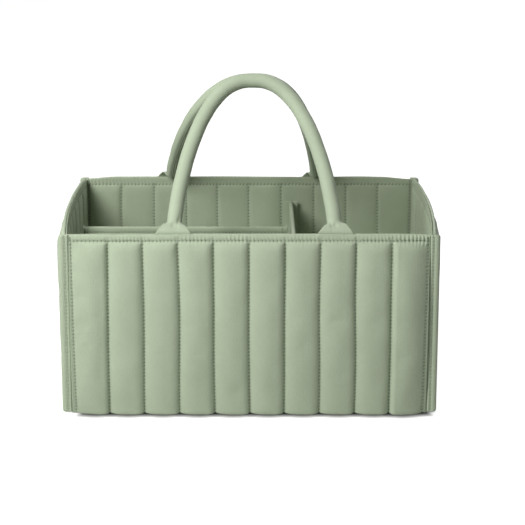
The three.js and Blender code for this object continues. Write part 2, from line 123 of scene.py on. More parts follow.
class Wobble:
    """Smooth random field over a cloth, mostly between -1 and 1.

    It is a sum of plane waves whose directions, lengths and phases come from a seed.
    """

    HELD = 1.6  # standard deviations of the sum that are brought to 1

    def __init__(
        self, seed: int, shortest: float, longest: float, stretch: float = 1.0, waves: int = 16
    ) -> None:
        """Draws the waves.

        Args:
            seed: Seed of the draws.
            shortest: Shortest wave in mm.
            longest: Longest wave in mm.
            stretch: How much longer the waves are up the cloth than along it.
            waves: Number of waves.
        """
        draw = np.random.default_rng(seed)
        turn = draw.uniform(0.0, FULL_TURN, waves)
        rate = FULL_TURN / draw.uniform(shortest, longest, waves)
        self.along = rate * np.cos(turn)
        self.up = rate * np.sin(turn) / stretch
        self.phase = draw.uniform(0.0, FULL_TURN, waves)
        self.scale = 1.0 / (self.HELD * math.sqrt(waves / 2.0))

    def __call__(self, along: Grid, up: Grid) -> Grid:
        """The field at places on the cloth, in mm."""
        total = np.zeros(np.broadcast(along, up).shape)
        for rate_along, rate_up, phase in zip(self.along, self.up, self.phase):
            total += np.cos(rate_along * along + rate_up * up + phase)
        return total * self.scale

    def patches(
        self, along: Grid, up: Grid, level: float = 0.5, contrast: float = 0.7
    ) -> Grid:
        """Soft patches of 1 on 0: the field times a contrast, about a level."""
        return smooth(level + contrast * self(along, up))


@dataclass(frozen=True)
class Span:
    """Lowest and highest corner of a node of the frame, in mm."""

    low: Grid
    high: Grid

    @classmethod
    def of(cls, node: str) -> "Span":
        """The span of a node by its name."""
        low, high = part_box(node)
        return cls(np.array(low) / MM, np.array(high) / MM)

    @property
    def middle(self) -> Grid:
        """The middle of the span."""
        return (self.low + self.high) / 2.0


@dataclass
class Loft:
    """A ring of points carried along a path, with a flat cap at each end.

    Attributes:
        points: Places in mm, by station on the path, place round the ring, and axis.
        along: Distance of each station along the flat cloth, in mm.
        seam: Share of painted shade at each point, from 0 to 1, for the shade in stitched grooves and needle
            holes, or None for none.
    """

    points: Grid
    along: Grid
    seam: Union[Grid, None] = None

    def around(self) -> Grid:
        """Distance round the ring in mm, from the mean step between neighbours, back to the first place."""
        closed = np.concatenate([self.points, self.points[:, :1]], axis=1)
        steps = np.linalg.norm(np.diff(closed, axis=1), axis=2).mean(axis=0)
        return np.concatenate([[0.0], np.cumsum(steps)])

    def corners(self) -> tuple[Grid, Grid, list[Grid]]:
        """Faces of the loft, pointing outwards.

        Returns:
            Station and ring number of each corner of the quads, and the ring numbers of the two caps.
        """
        stations, ring = self.points.shape[:2]
        first, second = np.meshgrid(np.arange(stations - 1), np.arange(ring), indexing="ij")
        station = np.stack([first, first + 1, first + 1, first], axis=-1).reshape(-1, 4)
        place = np.stack([second, second, second + 1, second + 1], axis=-1).reshape(-1, 4)
        caps = [np.arange(ring), np.arange(ring)[::-1]]
        if self.volume(station, place % ring, caps) < 0.0:
            return station[:, ::-1], place[:, ::-1], [cap[::-1] for cap in caps]
        return station, place, caps

    def volume(self, station: Grid, place: Grid, caps: list[Grid]) -> float:
        """Volume inside the faces in mm3, below 0 where they point inwards.

        Args:
            station: Station of each corner of the quads.
            place: Place round the ring of each corner of the quads.
            caps: Ring numbers of the first and the last cap.

        Returns:
            The signed volume, from the sum of tetrahedra to the middle of the loft.
        """
        points = self.points - self.points.mean(axis=(0, 1))
        a, b, c, d = (points[station[:, i], place[:, i]] for i in range(4))
        total = np.einsum("ij,ij->", a, np.cross(b, c)) + np.einsum("ij,ij->", a, np.cross(c, d))
        for end, cap in zip((points[0], points[-1]), caps):
            fan = end[cap]
            total += np.einsum("j,ij->", fan[0], np.cross(fan[1:-1], fan[2:]))
        return float(total) / 6.0


def object_from(name: str, points: Grid, faces: list) -> bpy.types.Object:
    """Makes a smooth-shaded mesh object at the origin.

    Args:
        name: Name of the piece.
        points: Places in mm.
        faces: Vertex numbers of each face.

    Returns:
        The new object, linked to the scene.
    """
    mesh = bpy.data.meshes.new(name)
    mesh.from_pydata((points * MM).tolist(), [], faces)
    mesh.shade_smooth()
    piece = bpy.data.objects.new(name, mesh)
    bpy.context.scene.collection.objects.link(piece)
    return piece


def piece_from(name: str, lofts: Sequence[Loft]) -> bpy.types.Object:
    """Makes one piece from its lofts, with a cloth map in metres and an attribute of painted shade.

    Args:
        name: Name of the piece.
        lofts: The closed lofts that the piece is made of.

    Returns:
        The new object.
    """
    points, faces, painted_shades, cloth = [], [], [], []
    start = 0
    for loft in lofts:
        stations, ring = loft.points.shape[:2]
        station, place, caps = loft.corners()
        ends = [np.zeros(ring, int), np.full(ring, stations - 1)]
        faces += (start + station * ring + place % ring).tolist()
        faces += [(start + end * ring + cap).tolist() for end, cap in zip(ends, caps)]
        all_stations = np.concatenate([station.ravel(), *ends])
        all_places = np.concatenate([place.ravel(), *caps])
        around = loft.around()
        cloth.append(np.stack([loft.along[all_stations], around[all_places]], axis=1) * MM)
        points.append(loft.points.reshape(-1, 3))
        painted_shades.append(np.zeros(stations * ring) if loft.seam is None else loft.seam.ravel())
        start += stations * ring
    piece = object_from(name, np.concatenate(points), faces)
    flat = np.concatenate(cloth).astype(np.float32)
    piece.data.uv_layers.new(name="Cloth").uv.foreach_set("vector", flat.ravel())
    seam = piece.data.attributes.new("seam", "FLOAT", "POINT")
    seam.data.foreach_set("value", np.concatenate(painted_shades).astype(np.float32))
    return piece


@dataclass(frozen=True)
class Stitches:
    """Shape of one stitch of lockstitch thread: a six-sided bead whose ends dip into the needle holes."""

    radius: float = 0.27
    sides: int = 6
    trim: float = 0.3  # thread hidden in the hole at each end, mm
    crown: float = 0.14  # rise of the middle over the ends, mm
    stations: tuple[float, ...] = (0.0, 0.1, 0.5, 0.9, 1.0)
    swell: tuple[float, ...] = (0.3, 0.85, 1.0, 0.85, 0.3)

    def build(self, name: str, starts: Grid, ends: Grid, out: Grid) -> bpy.types.Object:
        """Makes one piece that holds a stitch between each pair of needle holes.

        Args:
            name: Name of the piece.
            starts: Needle hole at the start of each stitch, mm.
            ends: Needle hole at the end of each stitch, mm.
            out: Direction out of the cloth at each stitch.

        Returns:
            The new object.
        """
        run = ends - starts
        length = np.linalg.norm(run, axis=1, keepdims=True)
        forward = run / length
        across = np.cross(out, forward)
        across /= np.linalg.norm(across, axis=1, keepdims=True)
        share = np.array(self.stations)
        turn = FULL_TURN * np.arange(self.sides) / self.sides
        middle = starts[:, None] + forward[:, None] * (
            self.trim + share[None, :, None] * (length - 2.0 * self.trim)[:, None]
        )
        middle += out[:, None] * (self.crown * np.sin(np.pi * share))[None, :, None]
        girth = self.radius * np.array(self.swell)[None, :, None, None]
        points = middle[:, :, None] + girth * (
            across[:, None, None] * np.cos(turn)[None, None, :, None]
            + out[:, None, None] * np.sin(turn)[None, None, :, None]
        )
        return object_from(name, points.reshape(-1, 3), self.faces(len(starts)))

    def faces(self, count: int) -> list:
        """Vertex numbers of the faces of a number of stitches."""
        rings = len(self.stations)
        grid = np.arange(rings * self.sides).reshape(rings, self.sides)
        offsets = rings * self.sides * np.arange(count)[:, None]
        sides = offsets[..., None] + quads(np.hstack([grid, grid[:, :1]]))
        heads, tails = offsets + grid[0, ::-1], offsets + grid[-1]
        return sides.reshape(-1, 4).tolist() + heads.tolist() + tails.tolist()


def linear(code: str) -> tuple[float, float, float, float]:
    """Linear colour of an sRGB hex code such as #a0b090."""
    parts = [int(code[i:i + 2], 16) / 255.0 for i in (1, 3, 5)]
    red, green, blue = (p / 12.92 if p <= 0.04045 else ((p + 0.055) / 1.055) ** 2.4 for p in parts)
    return red, green, blue, 1.0


def add_node(
    tree: Tree, kind: str, inputs: Union[dict, None] = None, output: Union[str, int] = 0,
    **settings: object,
) -> Union[Socket, None]:
    """Adds a node with its settings, and sets or links its inputs.

    Args:
        tree: Node tree that takes the node.
        kind: Blender's name of the node type, without ShaderNode.
        inputs: A value or an output socket for each input, by its name or number.
        output: Name or number of the output that is wanted.
        **settings: Properties of the node.

    Returns:
        That output, or None from a node that has no outputs.
    """
    node = tree.nodes.new(f"ShaderNode{kind}")
    for name, value in settings.items():
        setattr(node, name, value)
    for key, value in (inputs or {}).items():
        if isinstance(value, Socket):
            tree.links.new(value, node.inputs[key])
        else:
            node.inputs[key].default_value = value
    return node.outputs[output] if len(node.outputs) else None


def maths(tree: Tree, operation: str, *values: Value) -> Socket:
    """Result of one of Blender's operations on values."""
    return add_node(tree, "Math", dict(enumerate(values)), operation=operation)


def ranged(
    tree: Tree, value: Value, reach: tuple[float, float],
    onto: tuple[float, float] = (0.0, 1.0), shape: str = "LINEAR",
) -> Socket:
    """A value carried from one range onto another and held there."""
    return add_node(tree, "MapRange", {
        "Value": value, "From Min": reach[0], "From Max": reach[1], "To Min": onto[0], "To Max": onto[1],
    }, interpolation_type=shape)


def mixed(tree: Tree, share: Value, first: Value, second: Value) -> Socket:
    """Mix of two colours, all of the second where the share is 1."""
    return add_node(tree, "Mix", {"Factor": share, "A": first, "B": second}, "Result", data_type="RGBA")


def speckle(
    tree: Tree, place: Value, size: float, detail: float, roughness: float = 0.5
) -> Socket:
    """Noise with patches about one size across."""
    return add_node(tree, "TexNoise", {
        "Vector": place, "Scale": 1.0 / size, "Detail": detail, "Roughness": roughness,
    }, "Fac")


def shade(tree: Tree, height: Value, strength: float, depth: float, inputs: dict) -> None:
    """Adds a bump, a principled shader and the material's output.

    Args:
        tree: Node tree of the material.
        height: Height of the bump, from 0 to 1.
        strength: Strength of the bump.
        depth: Depth of the bump in mm.
        inputs: Inputs of the shader besides its normal.
    """
    bump = add_node(tree, "Bump", {"Strength": strength, "Distance": depth * MM, "Height": height})
    shader = add_node(tree, "BsdfPrincipled", {**inputs, "Normal": bump})
    add_node(tree, "OutputMaterial", {"Surface": shader})


def empty_material(name: str) -> tuple[bpy.types.Material, Tree]:
    """A new material and its cleared node tree."""
    material = bpy.data.materials.new(name)
    material.use_nodes = True
    material.node_tree.nodes.clear()
    return material, material.node_tree


@dataclass(frozen=True)
class WovenCloth:
    """Plain-woven polyester and cotton cloth, piece-dyed: matt, with a faint sheen on its rounded parts.

    The eye sees one soft colour that drifts a little over a hand's width, a fine even grain where it is
    close, and painted shade that darkens the cloth where thread draws it into a groove.
    """

    name: str
    colour: str
    painted_shade_colour: str  # colour of the painted shade in stitched grooves and needle holes
    faded: str  # colour of the paler patches
    roughness: float = 0.78
    sheen: float = 0.22
    thread: float = 0.75  # mm; real threads are about 0.35 mm apart, drawn coarser so that they show
    drift: float = 38.0  # mm across a paler or a deeper patch
    slub: float = 5.0  # mm along a thicker stretch of yarn
    grain: float = 0.16  # depth of the weave's bump, mm
    patchy: tuple[float, float] = (0.3, 0.7)  # part of the drift's noise that shows
    uneven: float = 0.05  # how much rougher or smoother a patch is
    slubby: tuple[float, float] = (0.25, 0.75)  # part of the yarn's noise that shows
    fleck: float = 0.035  # how much paler or darker a yarn is

    def material(self) -> bpy.types.Material:
        """Builds the cloth's material."""
        material, tree = empty_material(self.name)
        cloth = add_node(tree, "UVMap", uv_map="Cloth")
        drift = speckle(tree, add_node(tree, "TexCoord", output="Object"), self.drift * MM, 3.0, 0.55)
        yarn = speckle(tree, add_node(tree, "Mapping", {
            "Vector": cloth, "Scale": (1.0 / (self.thread * MM), 1.0 / (self.slub * MM), 1.0),
        }), 1.0, 2.0)
        bands = {"Vector": cloth, "Scale": FULL_TURN / WAVE_RATE / (2.0 * self.thread * MM)}
        weave = maths(tree, "MULTIPLY", *(
            add_node(tree, "TexWave", bands, "Fac", bands_direction=way) for way in ("X", "Y")
        ))
        patches = ranged(tree, drift, self.patchy)
        flecked = add_node(tree, "HueSaturation", {
            "Color": mixed(tree, patches, linear(self.colour), linear(self.faded)),
            "Value": ranged(tree, yarn, self.slubby, (1.0 - self.fleck, 1.0 + self.fleck)),
        })
        # painted shade: the attribute marks where stitched grooves and needle holes lie in shade, and the
        # cloth's colour is mixed towards the shade colour there
        seam = add_node(tree, "Attribute", output="Fac", attribute_name="seam")
        rough = (self.roughness - self.uneven, self.roughness + self.uneven)
        shade(tree, maths(tree, "MULTIPLY_ADD", yarn, 0.5, weave), 0.5, self.grain, {
            "Base Color": mixed(tree, seam, flecked, linear(self.painted_shade_colour)),
            "Roughness": ranged(tree, drift, self.patchy, rough), "IOR": 1.46,
            "Specular IOR Level": 0.35, "Sheen Weight": self.sheen, "Sheen Roughness": 0.45,
        })
        return material


@dataclass(frozen=True)
class SpunThread:
    """Spun polyester sewing thread, dyed to the cloth: dull, with the plies showing as a fine slant."""

    name: str
    colour: str
    dark: str
    ply: float = 0.6  # mm between plies, drawn coarser than the real 0.25 mm so that they show
    relief: float = 0.1  # depth of the bump, mm
    roughness: float = 0.7
    sheen: float = 0.1

    def material(self) -> bpy.types.Material:
        """Builds the thread's material."""
        material, tree = empty_material(self.name)
        plies = add_node(tree, "TexWave", {
            "Vector": add_node(tree, "TexCoord", output="Object"),
            "Scale": FULL_TURN / WAVE_RATE / (self.ply * MM), "Distortion": 1.5,
        }, "Fac", bands_direction="DIAGONAL")
        shade(tree, plies, 0.4, self.relief, {
            "Base Color": mixed(tree, plies, linear(self.dark), linear(self.colour)),
            "Roughness": self.roughness, "Sheen Weight": self.sheen,
        })
        return material


@dataclass(frozen=True)
class FleckedStock:
    """A dull stock with flecks in it: grey board pressed from pulp, cotton cord, or napped tape."""

    name: str
    colour: str
    fleck: str
    size: float  # mm across a fleck
    relief: float  # depth of the bump, mm
    roughness: float = 0.9
    shown: tuple[float, float] = (0.35, 0.7)  # part of the noise that shows

    def material(self) -> bpy.types.Material:
        """Builds the stock's material."""
        material, tree = empty_material(self.name)
        fleck = speckle(tree, add_node(tree, "TexCoord", output="Object"), self.size * MM, 4.0, 0.6)
        share = ranged(tree, fleck, self.shown)
        shade(tree, fleck, 0.6, self.relief, {
            "Base Color": mixed(tree, share, linear(self.colour), linear(self.fleck)),
            "Roughness": self.roughness,
        })
        return material


class Finish(Enum):
    """The caddy's finishes, each with the record's slot that it stands for."""

    QUILTED = ("quilted_cloth", WovenCloth("sage quilted cloth", "#afbca2", "#56664f", "#b5c2a8"))
    LINING = ("lining_cloth", WovenCloth("sage lining cloth", "#a7b399", "#56664f", "#adb99f", 0.85, 0.12))
    HANDLE = ("handle_cloth", WovenCloth("sage handle cloth", "#afbca2", "#56664f", "#b5c2a8"))
    THREAD = ("quilted_cloth", SpunThread("sage thread", "#afbba3", "#9ca890"))
    BOARD = ("stiffener", FleckedStock("grey board", "#c9c5b8", "#aeaa9c", 2.2, 0.1))
    CORD = ("cord", FleckedStock("cotton cord", "#e4e0d2", "#cfc9b6", 0.9, 0.2))
    TAPE = ("hook_and_loop", FleckedStock("napped tape", "#8d997f", "#748067", 0.7, 0.3))

    @property
    def slot(self) -> str:
        """The record's material slot."""
        return self.value[0]

    @property
    def material(self) -> bpy.types.Material:
        """The finish's material, made when it is first asked for."""
        finish = self.value[1]
        return bpy.data.materials.get(finish.name) or finish.material()


def settle(
    piece: bpy.types.Object, finish: Finish, body: str, nodes: Iterable[str] = (),
) -> None:
    """Gives a piece its body and its finish, and says which nodes it stands for.

    Args:
        piece: The finished piece.
        finish: What it is made of.
        body: Body of the frame that it rides on.
        nodes: Nodes of the frame that it replaces.
    """
    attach(piece, body)
    mark(piece, finish, nodes)


def mark(
    piece: bpy.types.Object, finish: Finish, nodes: Iterable[str] = ()
) -> None:
    """Gives a piece its finish, says which nodes it stands for, and logs it."""
    piece.data.materials.append(finish.material)
    if nodes:
        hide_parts(*nodes)
    LOG.info("%s: %d faces in %s", piece.name, len(piece.data.polygons), finish.name.lower())


class Side(Enum):
    """A wall of the caddy, with its direction along, to the right from outside, and its direction out."""

    FRONT = ("front", (1.0, 0.0, 0.0), (0.0, -1.0, 0.0))
    BACK = ("back", (-1.0, 0.0, 0.0), (0.0, 1.0, 0.0))
    LEFT = ("left", (0.0, -1.0, 0.0), (-1.0, 0.0, 0.0))
    RIGHT = ("right", (0.0, 1.0, 0.0), (1.0, 0.0, 0.0))

    def __init__(self, label: str, along: tuple, out: tuple) -> None:
        """Keeps the wall's name in the names of its pieces, and its directions."""
        self.label, self.along, self.out = label, np.array(along), np.array(out)

    @property
    def is_long(self) -> bool:
        """Whether this is the front or the back wall."""
        return self in (Side.FRONT, Side.BACK)

    @property
    def tabs(self) -> list[str]:
        """Nodes of the two tabs of its handle, where it has one."""
        return [f"{self.label}_handle_{hand}_end" for hand in ("left", "right")] if self.is_long else []


@dataclass(frozen=True)
class WallPlace:
    """Turns a wall's own measures into places: along it, in from the plane of its crowns, and up."""

    side: Side
    crown: float  # plane of the crowns from the middle of the caddy
    half: float
    rim: float
    bow: float  # outward bow at the middle of the rim
    seed: int
    sag: float = 0.0  # how far the rim comes down between its ends
    end_dip: float = 2.2  # and at its ends
    end_reach: float = 32.0
    band: float = 8.0  # height of the band at the rim that comes down
    wander: float = 0.7  # how far the cloth and its lines stray along the wall
    calm: float = 20.0  # length at each end over which they stray less
    slant: float = 1.3  # how far the end lines lean out at the rim and in at the foot
    slant_reach: float = 40.0

    def points(self, along: Grid, depth: Grid, height: Grid) -> Grid:
        """Places in mm; the bow grows with the height and dies out towards the corners as a parabola.

        Args:
            along: Distance from the middle of the wall.
            depth: Distance in from the plane of the crowns.
            height: Distance up from the floor.

        Returns:
            Places, with the cloth strayed a little along the wall and the band at the rim lowered.
        """
        along, depth, height = np.broadcast_arrays(along, depth, height)
        from_end = self.half - np.abs(along)
        stray = Wobble(self.seed, 80.0, 220.0)(along, height)
        stray = self.wander * stray * smooth(from_end / self.calm)
        dip = self.sag + (self.end_dip - self.sag) * smooth(1.0 - from_end / self.end_reach)
        height = height - dip * smooth((height - self.rim + self.band) / self.band)
        bow = self.bow * (height / self.rim) * (1.0 - (along / self.half) ** 2)
        reach = self.crown + bow - depth
        lean = smooth(from_end / MARGIN) * smooth(1.0 - (from_end - MARGIN) / self.slant_reach)
        along = along + stray + np.sign(along) * self.slant * lean * (2.0 * height / self.rim - 1.0)
        return along[..., None] * self.side.along + reach[..., None] * self.side.out + height[..., None] * UP


@dataclass(frozen=True)
class ClothRun:
    """Blender's cloth on a sheet that thread holds down at points while wadding presses from behind."""

    frames: int = 20
    quality: int = 6
    pressure: float = 1.0
    ease: float = 0.002  # cloth to spare, as a share of its length
    tension: float = 15.0
    shear: float = 5.0
    bending: float = 15.0
    damping: float = 5.0
    air: float = 2.0
    enlarged: float = 10.0  # the solver is steadier on a sheet drawn larger than life
    most: float = 2.5  # mm that a point may move

    def settle(self, points: Grid, held: Grid) -> Grid:
        """Lets a sheet swell and pucker.

        Args:
            points: Places of the sheet in mm, by row, column and axis.
            held: Whether thread holds each point.

        Returns:
            The places once the cloth has settled.
        """
        index = np.arange(held.size).reshape(held.shape)
        sheet = object_from("cloth_run", points.reshape(-1, 3) * self.enlarged, quads(index).tolist())
        sheet.vertex_groups.new(name="held").add(index[held].tolist(), 1.0, "REPLACE")
        cloth = sheet.modifiers.new("cloth", "CLOTH")
        cloth.collision_settings.use_collision = False
        cloth.point_cache.frame_end = self.frames
        settings = cloth.settings
        settings.vertex_group_mass = "held"
        settings.quality = self.quality
        settings.tension_stiffness = settings.compression_stiffness = self.tension
        settings.shear_stiffness, settings.bending_stiffness = self.shear, self.bending
        settings.tension_damping = settings.compression_damping = settings.shear_damping = self.damping
        settings.air_damping = self.air
        settings.use_pressure, settings.uniform_pressure_force = True, self.pressure
        settings.shrink_min = settings.shrink_max = -self.ease
        settings.effector_weights.gravity = 0.0
        for frame in range(1, self.frames + 1):
            bpy.context.scene.frame_set(frame)
        settled = sheet.evaluated_get(bpy.context.evaluated_depsgraph_get()).to_mesh()
        moved = np.empty(points.size, np.float32)
        settled.vertices.foreach_get("co", moved)
        bpy.data.meshes.remove(sheet.data)
        bpy.context.scene.frame_set(1)
        shift = moved.reshape(points.shape) / (self.enlarged * MM) - points
        LOG.info("cloth settled: %d points, moved %.2f mm at most", held.size, np.abs(shift).max())
        return points + np.clip(shift, -self.most, self.most)


def cubic(values: Grid, places: Grid) -> Grid:
    """Smooth values along the first axis at fractional places: a Catmull-Rom curve through the rows."""
    base = np.clip(np.floor(places).astype(int), 0, len(values) - 2)
    t = (places - base).reshape(-1, *[1] * (values.ndim - 1))
    weights = (
        (-t + 2.0 * t ** 2 - t ** 3) / 2.0, (2.0 - 5.0 * t ** 2 + 3.0 * t ** 3) / 2.0,
        (t + 4.0 * t ** 2 - 3.0 * t ** 3) / 2.0, (t ** 3 - t ** 2) / 2.0,
    )
    rows = [np.clip(base + step, 0, len(values) - 1) for step in (-1, 0, 1, 2)]
    return sum(weight * values[row] for weight, row in zip(weights, rows))


@dataclass(frozen=True)
class Drape:
    """How a wall's cloth lies: its shift along, out of and up the wall, on a grid over the quilting."""

    shift: Grid

    def over(self, along: Grid, height: Grid) -> Grid:
        """The drape on a finer grid.

        Args:
            along: Share of the way along the quilting, for each column.
            height: Share of the way up it, for each row.

        Returns:
            Shifts by row, column and axis.
        """
        rows = cubic(self.shift, np.clip(height, 0.0, 1.0) * (len(self.shift) - 1))
        columns = np.clip(along, 0.0, 1.0) * (self.shift.shape[1] - 1)
        return cubic(rows.swapaxes(0, 1), columns).swapaxes(0, 1)


@dataclass
class Quilt:
    """Channels stitched up a wall: where the lines lie and how far the cloth stands out between them."""

    half: float  # half the length of the panel
    channels: int
    puff: float  # crown of a channel above its stitched lines
    foot: float
    hem: float
    seed: int
    per_stitch: int = 4  # grid steps along one stitch
    foot_tuck: float = 3.0
    foot_lap: float = 2.2  # part of the tuck that lies under the wall
    hem_fade: float = 11.0
    left_power: float = 2.1  # powers of the arch on the two sides of its crown
    right_power: float = 2.8
    first_power: float = 1.1
    crown_at: float = 0.62  # the wadding lies to the right, as it does where the lines are sewn from the left
    crown_shift: float = 0.05  # most that one channel's crown lies beside that, as a share of its width
    first_crown: float = 0.75  # the channels at the two ends are fullest towards the middle of the wall
    last_crown: float = 0.17
    last_full: float = 1.2
    shoulder: float = 0.42  # how much fuller the shoulders are than the drape
    left_shoulder: tuple[float, float] = (2.0, 4.5)  # powers that bound the fuller part of a flank
    right_shoulder: tuple[float, float] = (2.2, 5.0)
    uneven: float = 0.1  # most that one channel is flatter than the next
    slack: float = 0.06  # wander of the crown, as a share of the puff
    start_fill: float = 0.9  # fullness before the cloth settles
    rough: float = 0.03  # mm of seeded unevenness that lets puckers start
    gather: float = 0.26  # puckers along the hem
    gather_above: float = 9.0
    gather_below: float = 4.5
    end_gather: float = 0.9  # more of them towards the last line
    least_gather: float = 0.35  # between their patches
    gather_gain: tuple[float, float] = (0.6, 0.25)  # share at the first line, and what half a wall adds
    gather_drift: float = 0.8  # how far they stray from the stitches, in radians
    pucker: float = 0.14  # puckers beside the lines
    end_pucker: float = 1.2  # more of them along the last line
    end_pucker_reach: float = 12.0
    pucker_reach: float = 3.2
    pucker_slant: float = 0.45
    dimple: float = 0.5  # depth of the cloth at a needle hole
    groove: float = 0.92  # width of the drawn-in line
    hem_groove: float = 0.75
    scallop: float = 0.6  # the foot is drawn up at the lines
    scallop_reach: float = 5.0
    scallop_rise: float = 16.0
    thread_shadow: float = 0.22  # painted shade between the needle holes of a line
    end_shadow: tuple[float, float] = (0.2, 0.4)  # painted shade on the strips beyond the first and the last line
    end_shadow_edge: float = 1.2

    def __post_init__(self) -> None:
        """Measures the lines and the stitches."""
        self.edge = self.half - MARGIN  # place of the last stitched line
        self.lines = np.linspace(-self.edge, self.edge, self.channels + 1)
        self.pitch = 2.0 * self.edge / self.channels  # from line to line
        # grid steps across a channel, an even number so that one falls on the crown
        self.per_channel = 2 * round(self.pitch * self.per_stitch / STITCH / 2.0)
        self.hem_stitch = self.pitch * self.per_stitch / self.per_channel  # length of a stitch along the hem
        self.stitches_up = round((self.hem - self.foot) / STITCH)  # from the foot to the hem
        self.line_stitch = (self.hem - self.foot) / self.stitches_up  # length of a stitch up a line

    def columns(self) -> Grid:
        """Grid places along the wall."""
        quilted = np.linspace(-self.edge, self.edge, self.channels * self.per_channel + 1)
        outside = np.linspace(self.edge, self.half, 4)[1:]
        return np.concatenate([-outside[::-1], quilted, outside])

    def rows(self) -> Grid:
        """Grid heights from the foot to the hem."""
        return np.linspace(self.foot, self.hem, self.stitches_up * self.per_stitch + 1)

    def across(self, along: Grid) -> Grid:
        """Number of channels from the first line."""
        return np.clip((along + self.edge) / self.pitch, 0.0, self.channels)

    def from_line(self, along: Grid) -> Grid:
        """Distance to the nearest stitched line."""
        return np.abs(along + self.edge - np.round(self.across(along)) * self.pitch)

    def crowned(self, along: Grid) -> tuple[Grid, Grid, Grid, Grid]:
        """Channel at each place, its fullness, and the shares of the way from its crown to its two lines."""
        across = self.across(along)
        channel = np.minimum(across.astype(int), self.channels - 1)
        draw = np.random.default_rng(self.seed)
        fullness = 1.0 - self.uneven * draw.random(self.channels)
        fullness[-1] = self.last_full
        crown = self.crown_at + self.crown_shift * draw.uniform(-1.0, 1.0, self.channels)
        crown[0], crown[-1] = self.first_crown, self.last_crown
        away = across - channel - crown[channel]
        left = np.maximum(-away, 0.0) / crown[channel]
        right = np.maximum(away, 0.0) / (1.0 - crown[channel])
        return channel, fullness[channel], left, right

    def arch(self, along: Grid) -> Grid:
        """Arch across each channel: 1 at its crown, less a power of the share of the way to a line."""
        channel, fullness, left, right = self.crowned(along)
        slow = 1.0 - smooth((1.0 - left) ** self.first_power)
        fall = np.where(channel == 0, slow, left ** self.left_power)
        return fullness * (1.0 - fall - right ** self.right_power)

    def fill_ends(self, height: Grid) -> tuple[Grid, Grid]:
        """Shares of the fullness above the tucked foot and below the hem."""
        rise = rounded((height - self.foot + self.foot_lap) / self.foot_tuck)
        return rise, rounded((self.hem - height) / self.hem_fade)

    def shoulders(self, along: Grid, height: Grid) -> Grid:
        """How much fuller the wadding makes a channel beside its lines, all but the last channel."""
        channel, fullness, *flanks = self.crowned(along)
        powers = (self.left_shoulder, self.right_shoulder)
        fuller = sum(flank ** low - flank ** high for flank, (low, high) in zip(flanks, powers))
        fuller = np.where(channel == self.channels - 1, 0.0, fuller * fullness)
        rise, fall = self.fill_ends(height)
        return self.shoulder * self.puff * fuller * rise * fall

    def sewn(self, along: Grid, height: Grid) -> Grid:
        """1 where a line is stitched: up to the hem, and up to the rim along the two end lines."""
        return np.where((height < self.hem + 1.0) | (np.abs(along) > self.edge - self.groove), 1.0, 0.0)

    def drawn_up(self, along: Grid, height: Grid) -> Grid:
        """How far the lines' thread draws the foot up, dying out between the lines and above the tuck."""
        fade = 1.0 - smooth((height - self.foot) / self.scallop_rise)
        return self.scallop * bell(self.from_line(along), self.scallop_reach) * fade

    def gathers(self, along: Grid, height: Grid) -> Grid:
        """Puckers one stitch long that the hem's thread draws up, in patches, dying out above and below."""
        above = height - self.hem
        reach = np.where(above > 0.0, self.gather_above, self.gather_below)
        fade = bell(above, reach) * (1.0 + smooth(above / 2.0))
        patch = Wobble(self.seed + 1, 30.0, 90.0).patches(along, 0.0 * along, 0.4, 0.9)
        patch = self.least_gather + (1.0 - self.least_gather) * patch
        patch = patch * (self.gather_gain[0] + self.gather_gain[1] * (along + self.edge) / self.edge)
        patch = patch + self.end_gather * smooth(1.0 - (self.edge - along) / self.pitch)
        drift = self.gather_drift * Wobble(self.seed + 2, 14.0, 40.0)(along, height)
        wave = np.cos(FULL_TURN * (along + self.edge) / self.hem_stitch + drift)
        return -self.gather * patch * fade * wave

    def puckers(self, along: Grid, height: Grid) -> Grid:
        """Short slanting puckers that the lines' thread draws up on both sides of a line."""
        away = self.from_line(along)
        fade = np.exp(-away / self.pucker_reach) * (1.0 - np.exp(-away / self.groove))
        patch = Wobble(self.seed + 3, 20.0, 60.0).patches(along, height)
        patch = patch + self.end_pucker * smooth(1.0 - (self.edge - along) / self.end_pucker_reach)
        wave = np.cos(FULL_TURN * (height - self.foot + self.pucker_slant * away) / self.line_stitch)
        return -self.pucker * patch * fade * wave

    def grooves(self, along: Grid, height: Grid) -> tuple[Grid, Grid, Grid, Grid]:
        """Nearness to the lines and to the hem, and then to the needle holes of each, from 0 to 1."""
        line = bell(self.from_line(along), self.groove) * self.sewn(along, height)
        hem = bell(height - self.hem, self.hem_groove)
        return line, hem, hole(height - self.foot, self.line_stitch), hole(along + self.edge, self.hem_stitch)

    def dimples(self, along: Grid, height: Grid) -> Grid:
        """Depth of the drawn-in cloth along the lines and the hem, deepest at the needle holes."""
        line, hem, line_hole, hem_hole = self.grooves(along, height)
        return self.dimple * np.maximum(line * line_hole, hem * hem_hole)

    def drape(self) -> Drape:
        """Settles the cloth between its stitched lines.

        The sheet starts a little flatter than the finished wall. Thread holds it at every needle hole, and
        the foot and both ends are sewn down along their whole length.

        Returns:
            The drape, on a grid with two steps to a stitch.
        """
        per_channel = self.per_channel * 2 // self.per_stitch
        along = np.linspace(-self.edge, self.edge, self.channels * per_channel + 1)
        height = np.linspace(self.foot, self.hem, 2 * self.stitches_up + 1)
        along, height = np.meshgrid(along, height)
        rise, fall = self.fill_ends(height)
        wander = 1.0 + self.slack * Wobble(self.seed + 4, 18.0, 60.0, 1.6)(along, height)
        swell = self.puff * self.arch(along) * rise * fall * wander
        rough = np.random.default_rng(self.seed).normal(0.0, self.rough, swell.shape)
        start = np.stack([along, -self.start_fill * swell + rough, height], axis=-1)
        held = np.zeros(swell.shape, bool)
        held[::2, ::per_channel] = True
        held[-1, ::2] = held[0] = held[:, 0] = held[:, -1] = True
        shift = ClothRun().settle(start, held) - np.stack([along, 0.0 * swell, height], axis=-1)
        return Drape(shift * np.array([1.0, -1.0, 1.0]))

